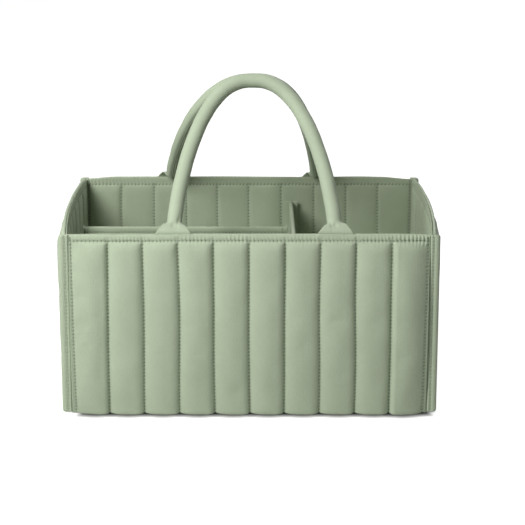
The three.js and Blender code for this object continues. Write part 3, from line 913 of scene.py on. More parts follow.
    def detail(self, along: Grid, height: Grid) -> Grid:
        """What wadding and thread add to the drape: shoulders, puckers one stitch long, drawn-in lines."""
        shown = np.where(np.abs(along) <= self.edge, 1.0, 0.0)
        raised = self.gathers(along, height) + shown * self.puckers(along, height)
        raised = raised + shown * self.shoulders(along, height)
        return raised - self.dimples(along, height)

    def lie(self, drape: Drape, share: float = 1.0) -> tuple[Grid, Grid, Grid]:
        """The quilted face on the wall's grid, from the foot to the hem.

        Args:
            drape: How the cloth lies.
            share: How much of the drape this layer follows.

        Returns:
            Places along the wall, swell out of it, and heights, by row and column.
        """
        along, height = self.columns(), self.rows()
        shift = share * drape.over(
            (along + self.edge) / (2.0 * self.edge), (height - self.foot) / (self.hem - self.foot)
        )
        swell = shift[..., 1] + self.detail(along[None, :], height[:, None])
        raised = shift[..., 2] + self.drawn_up(along[None, :], height[:, None])
        return along[None, :] + shift[..., 0], swell, height[:, None] + raised

    def seam(self, along: Grid, height: Grid) -> Grid:
        """Share of painted shade along the stitched lines and the hem, 1 at a needle hole, and on the strips
        beyond the end lines.
        """
        line, hem, line_hole, hem_hole = self.grooves(along, height)
        # painted shade in the grooves, darkest at the needle holes
        line = line * (self.thread_shadow + (1.0 - self.thread_shadow) * line_hole ** 2)
        first, last = self.end_shadow
        strip = smooth((np.abs(along) - self.edge) / self.end_shadow_edge)
        strip = np.where(along > 0.0, last, first) * strip
        return np.maximum(np.maximum(line, hem * hem_hole ** 3), strip)


@dataclass
class Wall:
    """One wall: quilted outer panel folded over the rim, lining, and the thread through them."""

    side: Side
    place: WallPlace
    outer: Quilt
    inner: Quilt
    cloth_face: float  # depth of the outer panel's stitched lines
    cloth_back: float
    lip: float  # depth that the fold at the rim reaches
    lining_back: float
    lining_face: float
    tabs: tuple[float, ...]  # places along the wall where a handle's tab is sewn in
    tab_half: float
    tab_lip: float  # depth that the fold reaches in front of a tab
    drape: Drape
    rim_round: float = 2.6
    lining_round: float = 1.5
    band_bulge: float = 0.35  # the folded hem stands out between its stitching and the rim
    valley: float = 2.4  # half the width of the hem's hollow over a line
    valley_depth: float = 0.4
    tab_push: float = 0.3  # a tab behind the hem pushes it out
    tab_push_below: float = 14.0  # from this far below the hem
    tab_edge: float = 1.6  # width of the edge of that push
    rim_wave: float = 0.35
    thread_rise: float = 0.06  # of the stitches over the stitched lines
    belly: float = 0.0  # how far the padding stands out half-way up

    def bellied(self, height: Grid) -> Grid:
        """Swell of the outer face as a whole, a parabola from the foot to the hem."""
        share = np.clip((height - self.outer.foot) / (self.outer.hem - self.outer.foot), 0.0, 1.0)
        return 4.0 * self.belly * share * (1.0 - share)

    def over_tab(self, along: Grid) -> Grid:
        """1 in front of a tab and 0 away from it, with an edge a few millimetres wide."""
        cover = np.zeros(np.shape(along))
        for centre in self.tabs:
            within = self.tab_half + self.tab_edge - np.abs(along - centre)
            cover = np.maximum(cover, smooth(within / self.tab_edge))
        return cover

    def folded(
        self, quilt: Quilt, lie: tuple[Grid, Grid], rows: Grid, face: Grid,
        inmost: Grid, radius: float, turns: int, back: list, wave: float = 0.0,
    ) -> Loft:
        """A layer of the wall: up its face, over its round top edge and down its back.

        Args:
            quilt: Its quilting.
            lie: Places along the wall and heights of the quilted rows, as the cloth lies.
            rows: Heights of all rows of the face on the flat cloth.
            face: Depths of these rows.
            inmost: Depth behind the top edge.
            radius: Radius of the top edge.
            turns: Steps over the top edge.
            back: Height and depth of each row down the back.
            wave: How far the top edge waves up and down.

        Returns:
            The layer, a ring carried along the wall.
        """
        along = quilt.columns()[None, :]
        flat = np.zeros_like(along)
        face_along, face_up = lie
        turn = np.linspace(0.0, np.pi, turns + 1)[1:, None]
        fold = (face[-1:] + inmost) / 2.0 - np.cos(turn) * (inmost - face[-1:]) / 2.0
        depth = np.concatenate([face, fold, *(row_depth + flat for _, row_depth in back)])
        height = np.concatenate([
            face_up, rows[len(face_up):] + flat, self.place.rim - radius + radius * np.sin(turn) + flat,
            *(row_height + flat for row_height, _ in back),
        ])
        spread = np.concatenate([face_along, np.repeat(along, len(height) - len(face_along), axis=0)])
        lift = wave * Wobble(quilt.seed + 5, 60.0, 150.0)(along, flat)
        height = height + lift * smooth((height - quilt.hem + 6.0) / 12.0)
        seam = np.zeros(height.shape)
        seam[:len(rows)] = quilt.seam(along, rows)
        return Loft(self.place.points(spread, depth, height).transpose(1, 0, 2), along[0], seam.T)

    def outer_loft(self) -> Loft:
        """Outer panel: up the quilted face, over the rim, down behind the fold and down the back."""
        quilt, shoulder = self.outer, self.place.rim - self.rim_round
        along = quilt.columns()[None, :]
        cover = self.over_tab(along)
        face_along, swell, face_up = quilt.lie(self.drape)
        band_rows = np.linspace(quilt.hem, shoulder, 8)[1:, None]
        band = (band_rows - quilt.hem) / (shoulder - quilt.hem)
        valley = bell(quilt.from_line(along), self.valley)
        bulge = self.band_bulge * np.sin(np.pi * band) * (1.0 - valley)
        bulge = bulge - self.valley_depth * valley * (1.0 - band) + quilt.detail(along, band_rows)
        rows = np.concatenate([quilt.rows()[:, None], band_rows])
        push = smooth((rows - quilt.hem + self.tab_push_below) / self.tab_push_below)
        push = self.tab_push * cover * push
        face = self.cloth_face - np.concatenate([swell, bulge]) - push - self.bellied(rows)
        inmost = self.lip + (self.tab_lip - self.lip) * cover
        back = [(shoulder - 1.6, inmost), (shoulder - 3.0, np.minimum(inmost, self.cloth_back))]
        back += [(up, self.cloth_back) for up in (shoulder - 6.0, 140.0, 95.0, 50.0, 12.0, quilt.foot)]
        return self.folded(
            quilt, (face_along, face_up), rows, face, inmost, self.rim_round, 9, back, self.rim_wave
        )

    def lining_loft(self) -> Loft:
        """Lining: up the quilted inner face, over its top edge and down the back."""
        quilt, shoulder = self.inner, self.place.rim - self.lining_round
        along = quilt.columns()[None, :]
        band_rows = np.linspace(quilt.hem, shoulder, 5)[1:, None]
        face_along, swell, face_up = quilt.lie(self.drape, quilt.puff / self.outer.puff)
        face = self.lining_face + np.concatenate([swell, quilt.detail(along, band_rows)])
        rows = np.concatenate([quilt.rows()[:, None], band_rows])
        back = [(up, self.lining_back) for up in (150.0, 100.0, 50.0, quilt.foot)]
        return self.folded(
            quilt, (face_along, face_up), rows, face, self.lining_back, self.lining_round, 6, back
        )

    def stitch_ends(self, quilt: Quilt) -> tuple[Grid, Grid, Grid, Grid]:
        """Ends of the stitches up the lines, which end at the hem or past it at both ends, and along the hem.

        Args:
            quilt: The quilting that they hold.

        Returns:
            Place along and height of each start, then of each end.
        """
        up = quilt.foot + quilt.line_stitch * np.arange(2, quilt.stitches_up)
        lines, rungs = (grid.ravel() for grid in np.meshgrid(quilt.lines, up, indexing="ij"))
        last = np.array([-quilt.edge, quilt.edge])
        along = -quilt.edge + quilt.hem_stitch * np.arange(int(2.0 * quilt.edge / quilt.hem_stitch))
        hem = np.full(len(along), quilt.hem)
        start_along = np.concatenate([lines, last, along])
        start_up = np.concatenate([rungs, hem[:2], hem])
        end_along = np.concatenate([lines, last, along + quilt.hem_stitch])
        end_up = np.concatenate([rungs + quilt.line_stitch, hem[:2] + quilt.line_stitch, hem])
        return start_along, start_up, end_along, end_up

    def build(self) -> None:
        """Makes the wall's pieces."""
        name = self.side.label
        panel = piece_from(f"{name}_quilted_panel", [self.outer_loft()])
        settle(panel, Finish.QUILTED, "basket", [f"{name}_outer_panel"])
        lining = piece_from(f"{name}_quilted_lining", [self.lining_loft()])
        settle(lining, Finish.LINING, "basket", [f"{name}_lining"])
        thread = Stitches()
        for layer, quilt, depth, turn in (
            ("panel", self.outer, self.cloth_face - self.thread_rise, 1.0),
            ("lining", self.inner, self.lining_face + self.thread_rise, -1.0),
        ):
            start_along, start_up, end_along, end_up = self.stitch_ends(quilt)
            swell = (turn > 0.0) * self.bellied(np.stack([start_up, end_up]))
            starts = self.place.points(start_along, depth - swell[0], start_up)
            ends = self.place.points(end_along, depth - swell[1], end_up)
            out = np.tile(turn * self.side.out, (len(starts), 1))
            settle(thread.build(f"{name}_{layer}_stitches", starts, ends, out), Finish.THREAD, "basket")


@dataclass
class Walls:
    """The four walls, placed by the frame."""

    puff: float = 5.4
    line_depth: float = 4.6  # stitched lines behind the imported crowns
    lining_puff: float = 1.9
    hem_height: float = 8.2
    long_channels: int = 10
    side_channels: int = 7
    side_bow: float = 6.0
    foot_drop: float = 0.5  # the cloth hangs a little below its packed foot
    belly: float = 3.5  # of the front and the back
    front_sag: float = 1.6
    tab_thick: float = 1.2
    tab_clearance: float = 0.35

    def wall(self, side: Side, drapes: dict[bool, Drape]) -> Wall:
        """One wall from the nodes of the frame.

        Args:
            side: Which wall.
            drapes: Drape of the long walls and of the side walls, made here when it is first needed.

        Returns:
            The wall, ready to build.
        """
        front, board, lining = (Span.of(f"front_{part}") for part in ("outer_panel", "wall_board", "lining"))
        binding = Span.of("front_right_corner_binding")
        own, own_lining = Span.of(f"{side.label}_outer_panel"), Span.of(f"{side.label}_lining")
        axis = 0 if side.is_long else 1
        rim, foot = front.high[2], own.low[2] - self.foot_drop
        half = binding.low[0] - LAYER_GAP if side.is_long else own.high[1]
        depth_of = -front.low[1]
        board_back = depth_of + board.high[1]
        crown = depth_of if side.is_long else Span.of("right_wall_board").low[0] + board_back
        channels = self.long_channels if side.is_long else self.side_channels
        hem = rim - self.hem_height
        seed = 10 * (1 + list(Side).index(side))
        ends = [Span.of(tab) for tab in side.tabs]
        tab_half, tab_lip = 0.0, board_back
        if ends:
            tab_half = (ends[0].high[0] - ends[0].low[0]) / 2.0
            tab_lip = depth_of - abs(ends[0].middle[1]) - self.tab_thick / 2.0 - self.tab_clearance
        outer = Quilt(half, channels, self.puff, foot, hem, seed)
        if side.is_long not in drapes:
            drapes[side.is_long] = outer.drape()
        return Wall(
            side=side,
            place=WallPlace(
                side, crown, half, rim, 0.0 if side.is_long else self.side_bow, seed + 6,
                sag=self.front_sag if side is Side.FRONT else 0.0,
            ),
            outer=outer,
            drape=drapes[side.is_long],
            inner=Quilt(
                own_lining.high[axis], channels, self.lining_puff, own_lining.low[2], hem, seed + 100,
                per_stitch=3, gather=0.2, pucker=0.15, dimple=0.35, scallop=0.0,
            ),
            cloth_face=self.line_depth,
            cloth_back=depth_of + board.low[1] - LAYER_GAP,
            lip=board_back,
            lining_back=depth_of + lining.low[1],
            lining_face=depth_of + lining.high[1] - self.lining_puff,
            tabs=tuple(float(end.middle @ side.along) for end in ends),
            tab_half=tab_half,
            tab_lip=tab_lip,
            belly=self.belly if side.is_long else 0.0,
        )

    def build(self) -> None:
        """Makes all four walls; opposite walls share one drape, turned half round."""
        drapes: dict[bool, Drape] = {}
        for side in Side:
            self.wall(side, drapes).build()


@dataclass
class CornerBinding:
    """Folded tape that closes the join at an upright corner: two leaves, a rounded fold and a line of
    stitching.
    """

    node: str
    corner: float = 3.2  # radius of its outer corners
    end_round: float = 1.2
    stitch_from_edge: float = 3.2
    crest: float = 6.0  # place of its thickest part from the inner edge
    pinch: float = 0.74  # thickness at the stitching, as a share of the most
    small_roll: float = 0.16  # and how much thicker it is between the stitching and the inner edge
    edge_share: float = 0.8  # the inner edge is thinner than the roll beside it
    groove: float = 0.9  # width of the drawn-in stitching
    dimple: float = 0.25  # depth at a needle hole
    pucker: float = 0.12
    pucker_reach: float = 2.5
    # how dark the painted shade along the stitching is
    painted_shade_share: float = 0.45
    thread_shadow: float = 0.2  # painted shade between the needle holes
    thread_rise: float = 0.02
    ring_steps: int = 22

    def thickness(self, across: Grid, width: float) -> Grid:
        """Share of the thickness: a small roll, the drawn-in stitching, a larger roll and the round fold."""
        to_stitch = np.clip(across / self.stitch_from_edge, 0.0, 1.0)
        roll = self.pinch + self.small_roll * np.sin(np.pi * to_stitch)
        swell = (across - self.stitch_from_edge) / (self.crest - self.stitch_from_edge)
        middle = self.pinch + (1.0 - self.pinch) * smooth(swell)
        fold = np.sqrt(np.clip(1.0 - ((across - self.crest) / (width - self.crest)) ** 2, 0.0, 1.0))
        return np.where(across < self.stitch_from_edge, roll, np.where(across < self.crest, middle, fold))

    def build(self) -> None:
        """Makes the tape and its two lines of stitches."""
        span = Span.of(self.node)
        side, front = np.sign(span.middle[:2])
        inner = min(abs(span.low[0]), abs(span.high[0]))
        width = span.high[0] - span.low[0]
        half_thick, middle = (span.high[1] - span.low[1]) / 2.0, abs(span.middle[1])
        foot, top = span.low[2], span.high[2]
        steps = round((top - foot) / STITCH)
        pitch = (top - foot) / steps
        heights = np.linspace(foot, top, 4 * steps + 1)[:, None]
        leaf = width * np.sin(np.pi / 2.0 * np.linspace(0.0, 1.0, self.ring_steps))
        across = np.concatenate([leaf, leaf[-2::-1]])[None, :]
        face = np.concatenate([np.ones(self.ring_steps), -np.ones(self.ring_steps - 1)])[None, :]
        share = self.thickness(across, width)
        share[:, [0, -1]] *= self.edge_share
        end = np.minimum(heights - foot, top - heights)
        drawn = width - self.corner * (1.0 - rounded(end / self.corner))
        from_stitch = across - self.stitch_from_edge
        near, holes = bell(from_stitch, self.groove), hole(heights - foot, pitch)
        wave = np.exp(-np.abs(from_stitch) / self.pucker_reach) * (2.0 * holes - 1.0)
        patch = Wobble(len(self.node), 18.0, 60.0).patches(heights, across)
        dip = self.dimple * near * holes + self.pucker * patch * wave
        thick = (half_thick * share - dip) * rounded(end / self.end_round)
        places = (side * (inner + across * drawn / width), front * (middle + face * np.maximum(thick, 0.0)))
        points = np.stack(np.broadcast_arrays(*places, heights), axis=-1)
        # painted shade in the drawn-in stitching, darkest at the needle holes
        seam = self.painted_shade_share * near * (self.thread_shadow + (1.0 - self.thread_shadow) * holes ** 2)
        tape = piece_from(f"{self.node}_tape", [Loft(points, heights[:, 0], seam)])
        settle(tape, Finish.QUILTED, "basket", [self.node])
        rungs = foot + pitch * np.arange(1, steps - 1)
        raised = half_thick * self.pinch + self.thread_rise
        for leaf_name, way in (("outer", 1.0), ("inner", -1.0)):
            starts = np.stack([
                np.full(len(rungs), side * (inner + self.stitch_from_edge)),
                np.full(len(rungs), front * (middle + way * raised)), rungs,
            ], axis=1)
            out = np.tile([0.0, front * way, 0.0], (len(rungs), 1))
            thread = Stitches().build(f"{self.node}_{leaf_name}_stitches", starts, starts + pitch * UP, out)
            settle(thread, Finish.THREAD, "basket")


@dataclass
class Handle:
    """A strip of cloth rolled round a cord into a loop, with flat tabs sewn into the rim."""

    side: Side
    reach: float  # rim to the middle of the tube at the top of the loop, mm
    sway: float  # how far the top hangs to the right of the middle of its tabs
    diameter: float = 15.0
    cloth: float = 1.2
    slit: float = 0.8
    side_power: float = 2.35  # powers of the loop's superellipse
    top_power: float = 1.5
    tab_flat: float = 6.0  # where the strip starts to curl, above the rim
    tab_flare: float = 11.0  # length over which it curls into the tube
    tab_below: float = 3.0  # where the tab starts to narrow, below the rim
    tab_neck: float = 15.5  # length over which it narrows to the tube
    tab_power: float = 1.1  # roundness of its shoulders
    bend: float = 5.0  # length over which the strip turns from the wall into the lean of the loop
    edge_stitch: float = 2.3  # stitching from the edge of the strip
    groove: float = 0.9  # width of the drawn-in stitching
    dimple: float = 0.4
    # how dark the painted shade along the edge stitching is
    crease: float = 0.7  # depth of the fold that runs from the tube into each tab
    pit: float = 1.4  # and of the pit where the tab starts to curl, as a share of that
    wrinkle: float = 0.1  # inside the bend of the loop
    wrinkle_length: float = 5.2
    uneven: float = 0.14
    painted_shade_share: float = 0.8
    thread_sunk: float = 0.08  # of the stitches into the cloth
    core_clearance: float = 0.5
    core_twist: float = 26.0  # length of one turn of the cord's strands
    blend_length: float = 9.0  # of the bend at the rim, along the leaning tab
    blend_below: float = 1.5  # start of that bend, below the strip's middle line at the rim

    def __post_init__(self) -> None:
        """Reads the handle's place from the frame and measures its loop."""
        name = self.side.label
        ends = [Span.of(tab) for tab in self.side.tabs]
        sleeve, panel = Span.of(f"{name}_handle_sleeve"), Span.of(f"{name}_outer_panel")
        self.turn = 1.0 if self.side is Side.FRONT else -1.0
        self.shift = float((ends[0].middle[0] + ends[1].middle[0]) / 2.0)
        self.half_span = float(abs(ends[1].middle[0] - ends[0].middle[0]) / 2.0)
        self.tab_width = float(ends[0].high[0] - ends[0].low[0])
        self.foot = float(abs(ends[0].middle[1]))
        self.sewn = float(ends[0].high[2] - ends[0].low[2])
        self.start = float(panel.high[2]) + self.cloth / 2.0 + LAYER_GAP
        self.tube = (self.diameter - self.cloth) / 2.0
        meet = min(abs(sleeve.low[1]), abs(sleeve.high[1]))
        run = self.foot - meet - self.diameter / 2.0
        self.lean = math.asin(run / math.hypot(self.reach, self.tube)) - math.atan2(self.tube, self.reach)
        turn = np.pi * np.linspace(0.0, 1.0, 6001)
        side = np.cos(turn)
        risen = np.abs(np.sin(turn)) ** (2.0 / self.top_power)
        self.loop_x = self.half_span * np.sign(side) * np.abs(side) ** (2.0 / self.side_power)
        self.loop_x += self.turn * self.sway * risen ** 2
        self.loop_up = self.reach * risen
        steps = np.hypot(np.diff(self.loop_x), np.diff(self.loop_up))
        self.loop_at = np.concatenate([[0.0], np.cumsum(steps)])
        self.length = float(self.loop_at[-1])
        self.curled = self.tab_flat + self.tab_flare  # where the strip has become a tube

    def on_loop(self, distance: Grid) -> tuple[Grid, Grid]:
        """Places across and up the plane of the loop, held at its two feet."""
        held = np.clip(distance, 0.0, self.length)
        return np.interp(held, self.loop_at, self.loop_x), np.interp(held, self.loop_at, self.loop_up)

    def centre(self, distance: Grid) -> tuple[Grid, Grid, Grid]:
        """The strip's middle line, with its direction and the direction in from its back.

        The loop lies in a plane that leans in; below the rim the strip hangs straight in the wall.

        Args:
            distance: Distances along the strip from the rim, in mm.

        Returns:
            Places, forward directions and inward directions.
        """
        past = np.minimum(distance, 0.0) + np.minimum(self.length - distance, 0.0)
        x, up = self.on_loop(distance)
        up = up + past
        step = 0.5
        ahead, behind = self.on_loop(distance + step), self.on_loop(distance - step)
        straight = past < 0.0
        run_x = np.where(straight, 0.0, ahead[0] - behind[0])
        run_up = np.where(straight, np.where(distance < 0.0, 1.0, -1.0), ahead[1] - behind[1])
        size = np.hypot(run_x, run_up)
        fine = np.linspace(-self.sewn - 2.0, self.bend / 2.0, 2001)
        angle = self.lean * smooth((fine + self.bend / 2.0) / self.bend)
        bent = up < fine[-1]
        leaning = np.where(bent, np.interp(up, fine, angle), self.lean)
        moved = []
        for part in (np.sin, np.cos):
            table = np.cumsum(part(angle)) * (fine[1] - fine[0])
            table += fine[-1] * part(self.lean) - table[-1]
            moved.append(np.where(bent, np.interp(up, fine, table), up * part(self.lean)))
        place = np.stack([x, moved[0] - self.foot, self.start + moved[1]], axis=-1)
        forward = np.stack([run_x, run_up * np.sin(leaning), run_up * np.cos(leaning)], axis=-1)
        forward /= size[..., None]
        inward = np.stack([np.zeros_like(x), np.cos(leaning), -np.sin(leaning)], axis=-1)
        return place, forward, inward

    def from_end(self, distance: Grid) -> Grid:
        """Distance from the nearer end of the loop."""
        return np.minimum(distance, self.length - distance)

    def rolled(self, distance: Grid) -> Grid:
        """Share of the way from the flat tab to the closed tube."""
        return smooth((self.from_end(distance) - self.tab_flat) / self.tab_flare)

    def roll(self, distance: Grid) -> tuple[Grid, Grid]:
        """Width of the strip and how tightly it curls: flat at the tab, a closed tube past the flare.

        The half breadth that shows narrows with rounded shoulders from the tab to the tube. The half width
        of the cloth is that breadth times turn / sin(turn) up to a quarter turn and times the turn past it.

        Args:
            distance: Distances along the strip from the rim, in mm.

        Returns:
            Widths in mm and curls in radians per mm.
        """
        turn = (math.pi - self.slit / (2.0 * self.tube)) * self.rolled(distance)
        narrowed = np.clip((self.from_end(distance) + self.tab_below) / self.tab_neck, 0.0, 1.0)
        narrowed = narrowed ** self.tab_power
        breadth = self.tab_width / 2.0 + (self.tube - self.tab_width / 2.0) * narrowed
        opened = np.clip(turn, FLAT, math.pi / 2.0)
        half = breadth * np.where(turn < math.pi / 2.0, opened / np.sin(opened), turn)
        return 2.0 * half, turn / half

    def surface(self, distance: Grid, share: Grid, offset: Grid) -> Grid:
        """Places on the strip, whose back stays in the plane of the tabs while its edges curl inwards.

        Args:
            distance: Distance along the strip from the rim.
            share: Place across the strip, from -1 at one edge to 1 at the other.
            offset: Distance out from the middle of the cloth.

        Returns:
            Places in mm.
        """
        distance, share, offset = np.broadcast_arrays(distance, share, offset)
        place, forward, inward = self.centre(distance)
        width, curl = self.roll(distance)
        arc = share * width / 2.0
        turn = curl * arc
        tight = np.maximum(curl, FLAT)
        sideways = np.where(curl > FLAT, np.sin(turn) / tight, arc) + offset * np.sin(turn)
        inwards = np.where(curl > FLAT, (1.0 - np.cos(turn)) / tight, 0.0) - offset * np.cos(turn)
        across = np.cross(forward, inward)
        return self.stood(place + sideways[..., None] * across + inwards[..., None] * inward)

    def stood(self, local: Grid) -> Grid:
        """Places on the handle's own side of the caddy, from places on the front side about its middle."""
        return local * np.array([self.turn, self.turn, 1.0]) + np.array([self.shift, 0.0, 0.0])

    def stations(self) -> Grid:
        """Distances along the strip: close together at the bends and the flares."""
        foot = np.linspace(-self.sewn, -self.bend / 2.0, 7)[:-1]
        near = np.linspace(-self.bend / 2.0, self.curled, 44)[:-1]
        tube = np.linspace(self.curled, self.length - self.curled, 230)
        end = np.concatenate([foot, near])
        return np.concatenate([end, tube, self.length - end[::-1]])

    def stitching(self, distance: Grid, share: Grid, between: float) -> Grid:
        """Nearness to the stitching along both edges: 1 at a needle hole, and less between two holes."""
        width, _ = self.roll(distance)
        from_stitch = np.abs(np.abs(share * width / 2.0) - (width / 2.0 - self.edge_stitch))
        holes = between + (1.0 - between) * hole(distance, STITCH)
        return bell(from_stitch, self.groove) * holes * self.rolled(distance)

    def bumps(self, distance: Grid, share: Grid) -> Grid:
        """Relief of the outside: stitching drawn in, small wrinkles inside the bend, soft unevenness."""
        width, curl = self.roll(distance)
        arc = share * width / 2.0
        end = self.from_end(distance)
        # the fold slants away from the middle as it rises, and the pit lies low on the middle
        fold = bell(arc - 3.0 - 0.12 * end, 1.6) * bell(end - 11.0, 8.0)
        fold = fold + self.pit * bell(arc, 2.6) * bell(end - 7.0, 3.0)
        inside = bell(curl * arc - np.pi / 2.0, 0.7)
        drift = 2.0 * Wobble(51, 20.0, 60.0)(distance, arc)
        wrinkle = inside * np.cos(FULL_TURN * distance / self.wrinkle_length + drift)
        soft = self.uneven * Wobble(52, 14.0, 50.0, 0.7)(distance, arc) + self.wrinkle * wrinkle
        drawn = self.dimple * self.stitching(distance, share, 0.4)
        return soft * self.rolled(distance) - drawn - self.crease * fold

    def sleeve_loft(self) -> Loft:
        """The strip: its outside from edge to edge, round the edge, and its inside back again."""
        distance = self.stations()[:, None]
        share = np.linspace(-1.0, 1.0, 49)[None, :]
        outside = self.surface(distance, share, self.cloth / 2.0 + self.bumps(distance, share))
        inside = self.surface(distance, share[:, ::-1], np.array(-self.cloth / 2.0))
        width, _ = self.roll(distance)
        edge = 1.0 + 0.5 / width
        first, last = (self.surface(distance, way * edge, np.array(0.0)) for way in (-1.0, 1.0))
        points = np.concatenate([outside, last, inside, first], axis=1)
        seam = np.zeros(points.shape[:2])
        # painted shade in the drawn-in edge stitching of the outside
        seam[:, :share.shape[1]] = self.painted_shade_share * self.stitching(distance, share, 0.3)
        return Loft(points, distance[:, 0], seam)

    def core_loft(self) -> Loft:
        """Three-strand cord in the tube: a lobed ring that turns as it goes along the loop."""
        distance = np.linspace(self.curled, self.length - self.curled, 200)
        place, forward, inward = self.centre(distance)
        across = np.cross(forward, inward)
        turn = (FULL_TURN * np.arange(24) / 24)[None, :]
        twist = turn - FULL_TURN * distance[:, None] / self.core_twist
        radius = self.tube - self.cloth / 2.0 - self.core_clearance
        radius = radius * (0.86 + 0.14 * np.abs(np.cos(1.5 * twist)))
        middle = place + self.tube * inward
        points = middle[:, None] + radius[..., None] * (
            np.cos(turn)[..., None] * across[:, None] + np.sin(turn)[..., None] * inward[:, None]
        )
        return Loft(self.stood(points), distance)

    def needle_holes(self, distance: Grid, way: Grid, lift: float) -> Grid:
        """Needle holes along the edge on one side or the other, lifted off the middle of the cloth."""
        width, _ = self.roll(distance)
        return self.surface(distance, way * (1.0 - 2.0 * self.edge_stitch / width), np.array(lift))

    def stitch_piece(self) -> bpy.types.Object:
        """Stitches along both edges of the rolled strip."""
        along = np.arange(self.curled, self.length - self.curled - STITCH, STITCH)
        way = np.repeat([1.0, -1.0], len(along))
        along = np.tile(along, 2)
        lift = self.cloth / 2.0 - self.thread_sunk
        starts, ends = (self.needle_holes(place, way, lift) for place in (along, along + STITCH))
        out = self.needle_holes(along, way, lift + 1.0) - starts
        return Stitches().build(f"{self.side.label}_handle_stitches", starts, ends, out)

    def build(self) -> None:
        """Makes the sleeve and its stitches, which bend at the rim, and the cord, which rides on the loop."""
        name = f"{self.side.label}_handle"
        sleeve = piece_from(f"{name}_rolled_sleeve", [self.sleeve_loft()])
        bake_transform(sleeve)
        mark(sleeve, Finish.HANDLE, [f"{name}_sleeve", *self.side.tabs])
        thread = self.stitch_piece()
        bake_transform(thread)
        mark(thread, Finish.THREAD)
        cord = piece_from(f"{name}_twisted_core", [self.core_loft()])
        settle(cord, Finish.CORD, name, [f"{name}_core"])


@dataclass
class Divider:
    """A board in a soft cloth cover that ends in a flap at each end."""

    name: str
    along: tuple[float, float, float]
    flap_cloth: float = 1.4
    web_half: float = 2.6
    foot_drop: float = 0.15  # the cover's foot hangs a little below its board
    border: float = 6.0  # stitching from the top edge
    end_border: float = 4.0  # and from the flaps
    puff: float = 0.45
    puff_reach: float = 14.0
    uneven: float = 0.2
    dimple: float = 0.3
    near_top: float = 20.0  # height below the crest that takes a finer grid
    edge_round: float = 0.6  # of the flaps
    flat_power: float = 0.35  # powers of their superelliptical ring, across the divider and along it
    edge_power: float = 0.5

    def __post_init__(self) -> None:
        """Reads the divider's place from the frame."""
        self.way = np.array(self.along)
        self.side = np.cross(UP, self.way)
        span = Span.of(f"{self.name}_cover")
        low, high = span.low @ self.way, span.high @ self.way
        self.length = high - low
        self.start = low * self.way + abs(self.side) * (span.middle @ abs(self.side))
        self.foot, self.top = span.low[2] - self.foot_drop, span.high[2]
        self.flap_half = (span.high - span.low) @ abs(self.side) / 2.0

    def points(self, along: Grid, across: Grid, height: Grid) -> Grid:
        """Places from the divider's own measures: along it, across it and up."""
        along, across, height = np.broadcast_arrays(along, across, height)
        flat = along[..., None] * self.way + across[..., None] * self.side
        return self.start + flat + height[..., None] * UP

    def web_loft(self) -> Loft:
        """The cover's web: up one face, over the rounded top and down the other, with its stitching."""
        first, last = self.flap_cloth, self.length - self.flap_cloth
        steps = round((last - first) / STITCH) * 3
        along = np.linspace(first, last, steps + 1)[:, None]
        pitch = 3.0 * (last - first) / steps
        crest = self.top - self.web_half
        low = crest - self.near_top
        rise = np.concatenate([np.linspace(self.foot, low, 40), np.linspace(low, crest, 24)[1:]])
        turn = np.linspace(0.0, np.pi, 11)[1:-1]
        across = np.concatenate([-np.ones(len(rise)), -np.cos(turn), np.ones(len(rise))])[None, :]
        height = np.concatenate([rise, crest + self.web_half * np.sin(turn), rise[::-1]])[None, :]
        from_end = np.minimum(along - first, last - along)
        from_top = np.abs(height - (self.top - self.border))
        drawn = bell(np.minimum(from_top, np.abs(from_end - self.end_border)), 1.0)
        soft = Wobble(len(self.name), 25.0, 80.0)(along, height)
        pad = smooth(np.minimum(from_end, self.top - height) / self.puff_reach)
        half = self.web_half - self.puff * (1.0 - pad) + self.uneven * soft * pad
        half = half - self.dimple * drawn * (0.5 + 0.5 * hole(along, pitch))
        points = self.points(along, across * np.minimum(half, self.web_half + 0.1), height)
        # painted shade in the drawn-in lines below the top and beside the flaps, darkest at the needle holes
        return Loft(points, along[:, 0], drawn * (0.3 + 0.7 * hole(along + height, pitch)) * 0.7)

    def flap_loft(self, middle: float) -> Loft:
        """A flap: a rounded strip of cloth that stands across the divider's end."""
        near = self.edge_round
        height = np.concatenate([[self.foot], np.linspace(self.foot + near, self.top - near, 90), [self.top]])
        height = height[:, None]
        turn = (FULL_TURN * np.arange(36) / 36)[None, :]
        waves = ((np.cos(turn), self.flat_power), (np.sin(turn), self.edge_power))
        wide, thick = (np.sign(wave) * np.abs(wave) ** power for wave, power in waves)
        end = rounded(np.minimum(height - self.foot, self.top - height) / near + 0.25)
        soft = 0.1 * Wobble(int(middle) + 3, 12.0, 40.0)(height, wide * self.flap_half)
        along = middle + (self.flap_cloth / 2.0 - 0.03 + soft * np.abs(thick) * 0.5) * thick * end
        return Loft(self.points(along, wide * (self.flap_half - 0.4 * (1.0 - end)), height), height[:, 0])

    def stitch_piece(self) -> bpy.types.Object:
        """Stitches below the top edge, on both faces of the web."""
        first = self.flap_cloth + self.end_border
        last = self.length - first
        along = np.linspace(first, last, round((last - first) / STITCH) + 1)
        raised = self.web_half - self.dimple
        height = np.array(self.top - self.border)
        rows = [self.points(along, np.array(way * raised), height) for way in (-1.0, 1.0)]
        starts, ends = (np.concatenate([row[part] for row in rows]) for part in (np.s_[:-1], np.s_[1:]))
        out = np.repeat([-self.side, self.side], len(along) - 1, axis=0)
        return Stitches().build(f"{self.name}_stitches", starts, ends, out)

    def build(self) -> None:
        """Makes the cover and its stitches."""
        near = self.flap_cloth / 2.0
        flaps = [self.flap_loft(middle) for middle in (near, self.length - near)]
        cover = piece_from(f"{self.name}_padded_cover", [self.web_loft(), *flaps])
        settle(cover, Finish.LINING, self.name, [f"{self.name}_cover"])
        settle(self.stitch_piece(), Finish.THREAD, self.name)


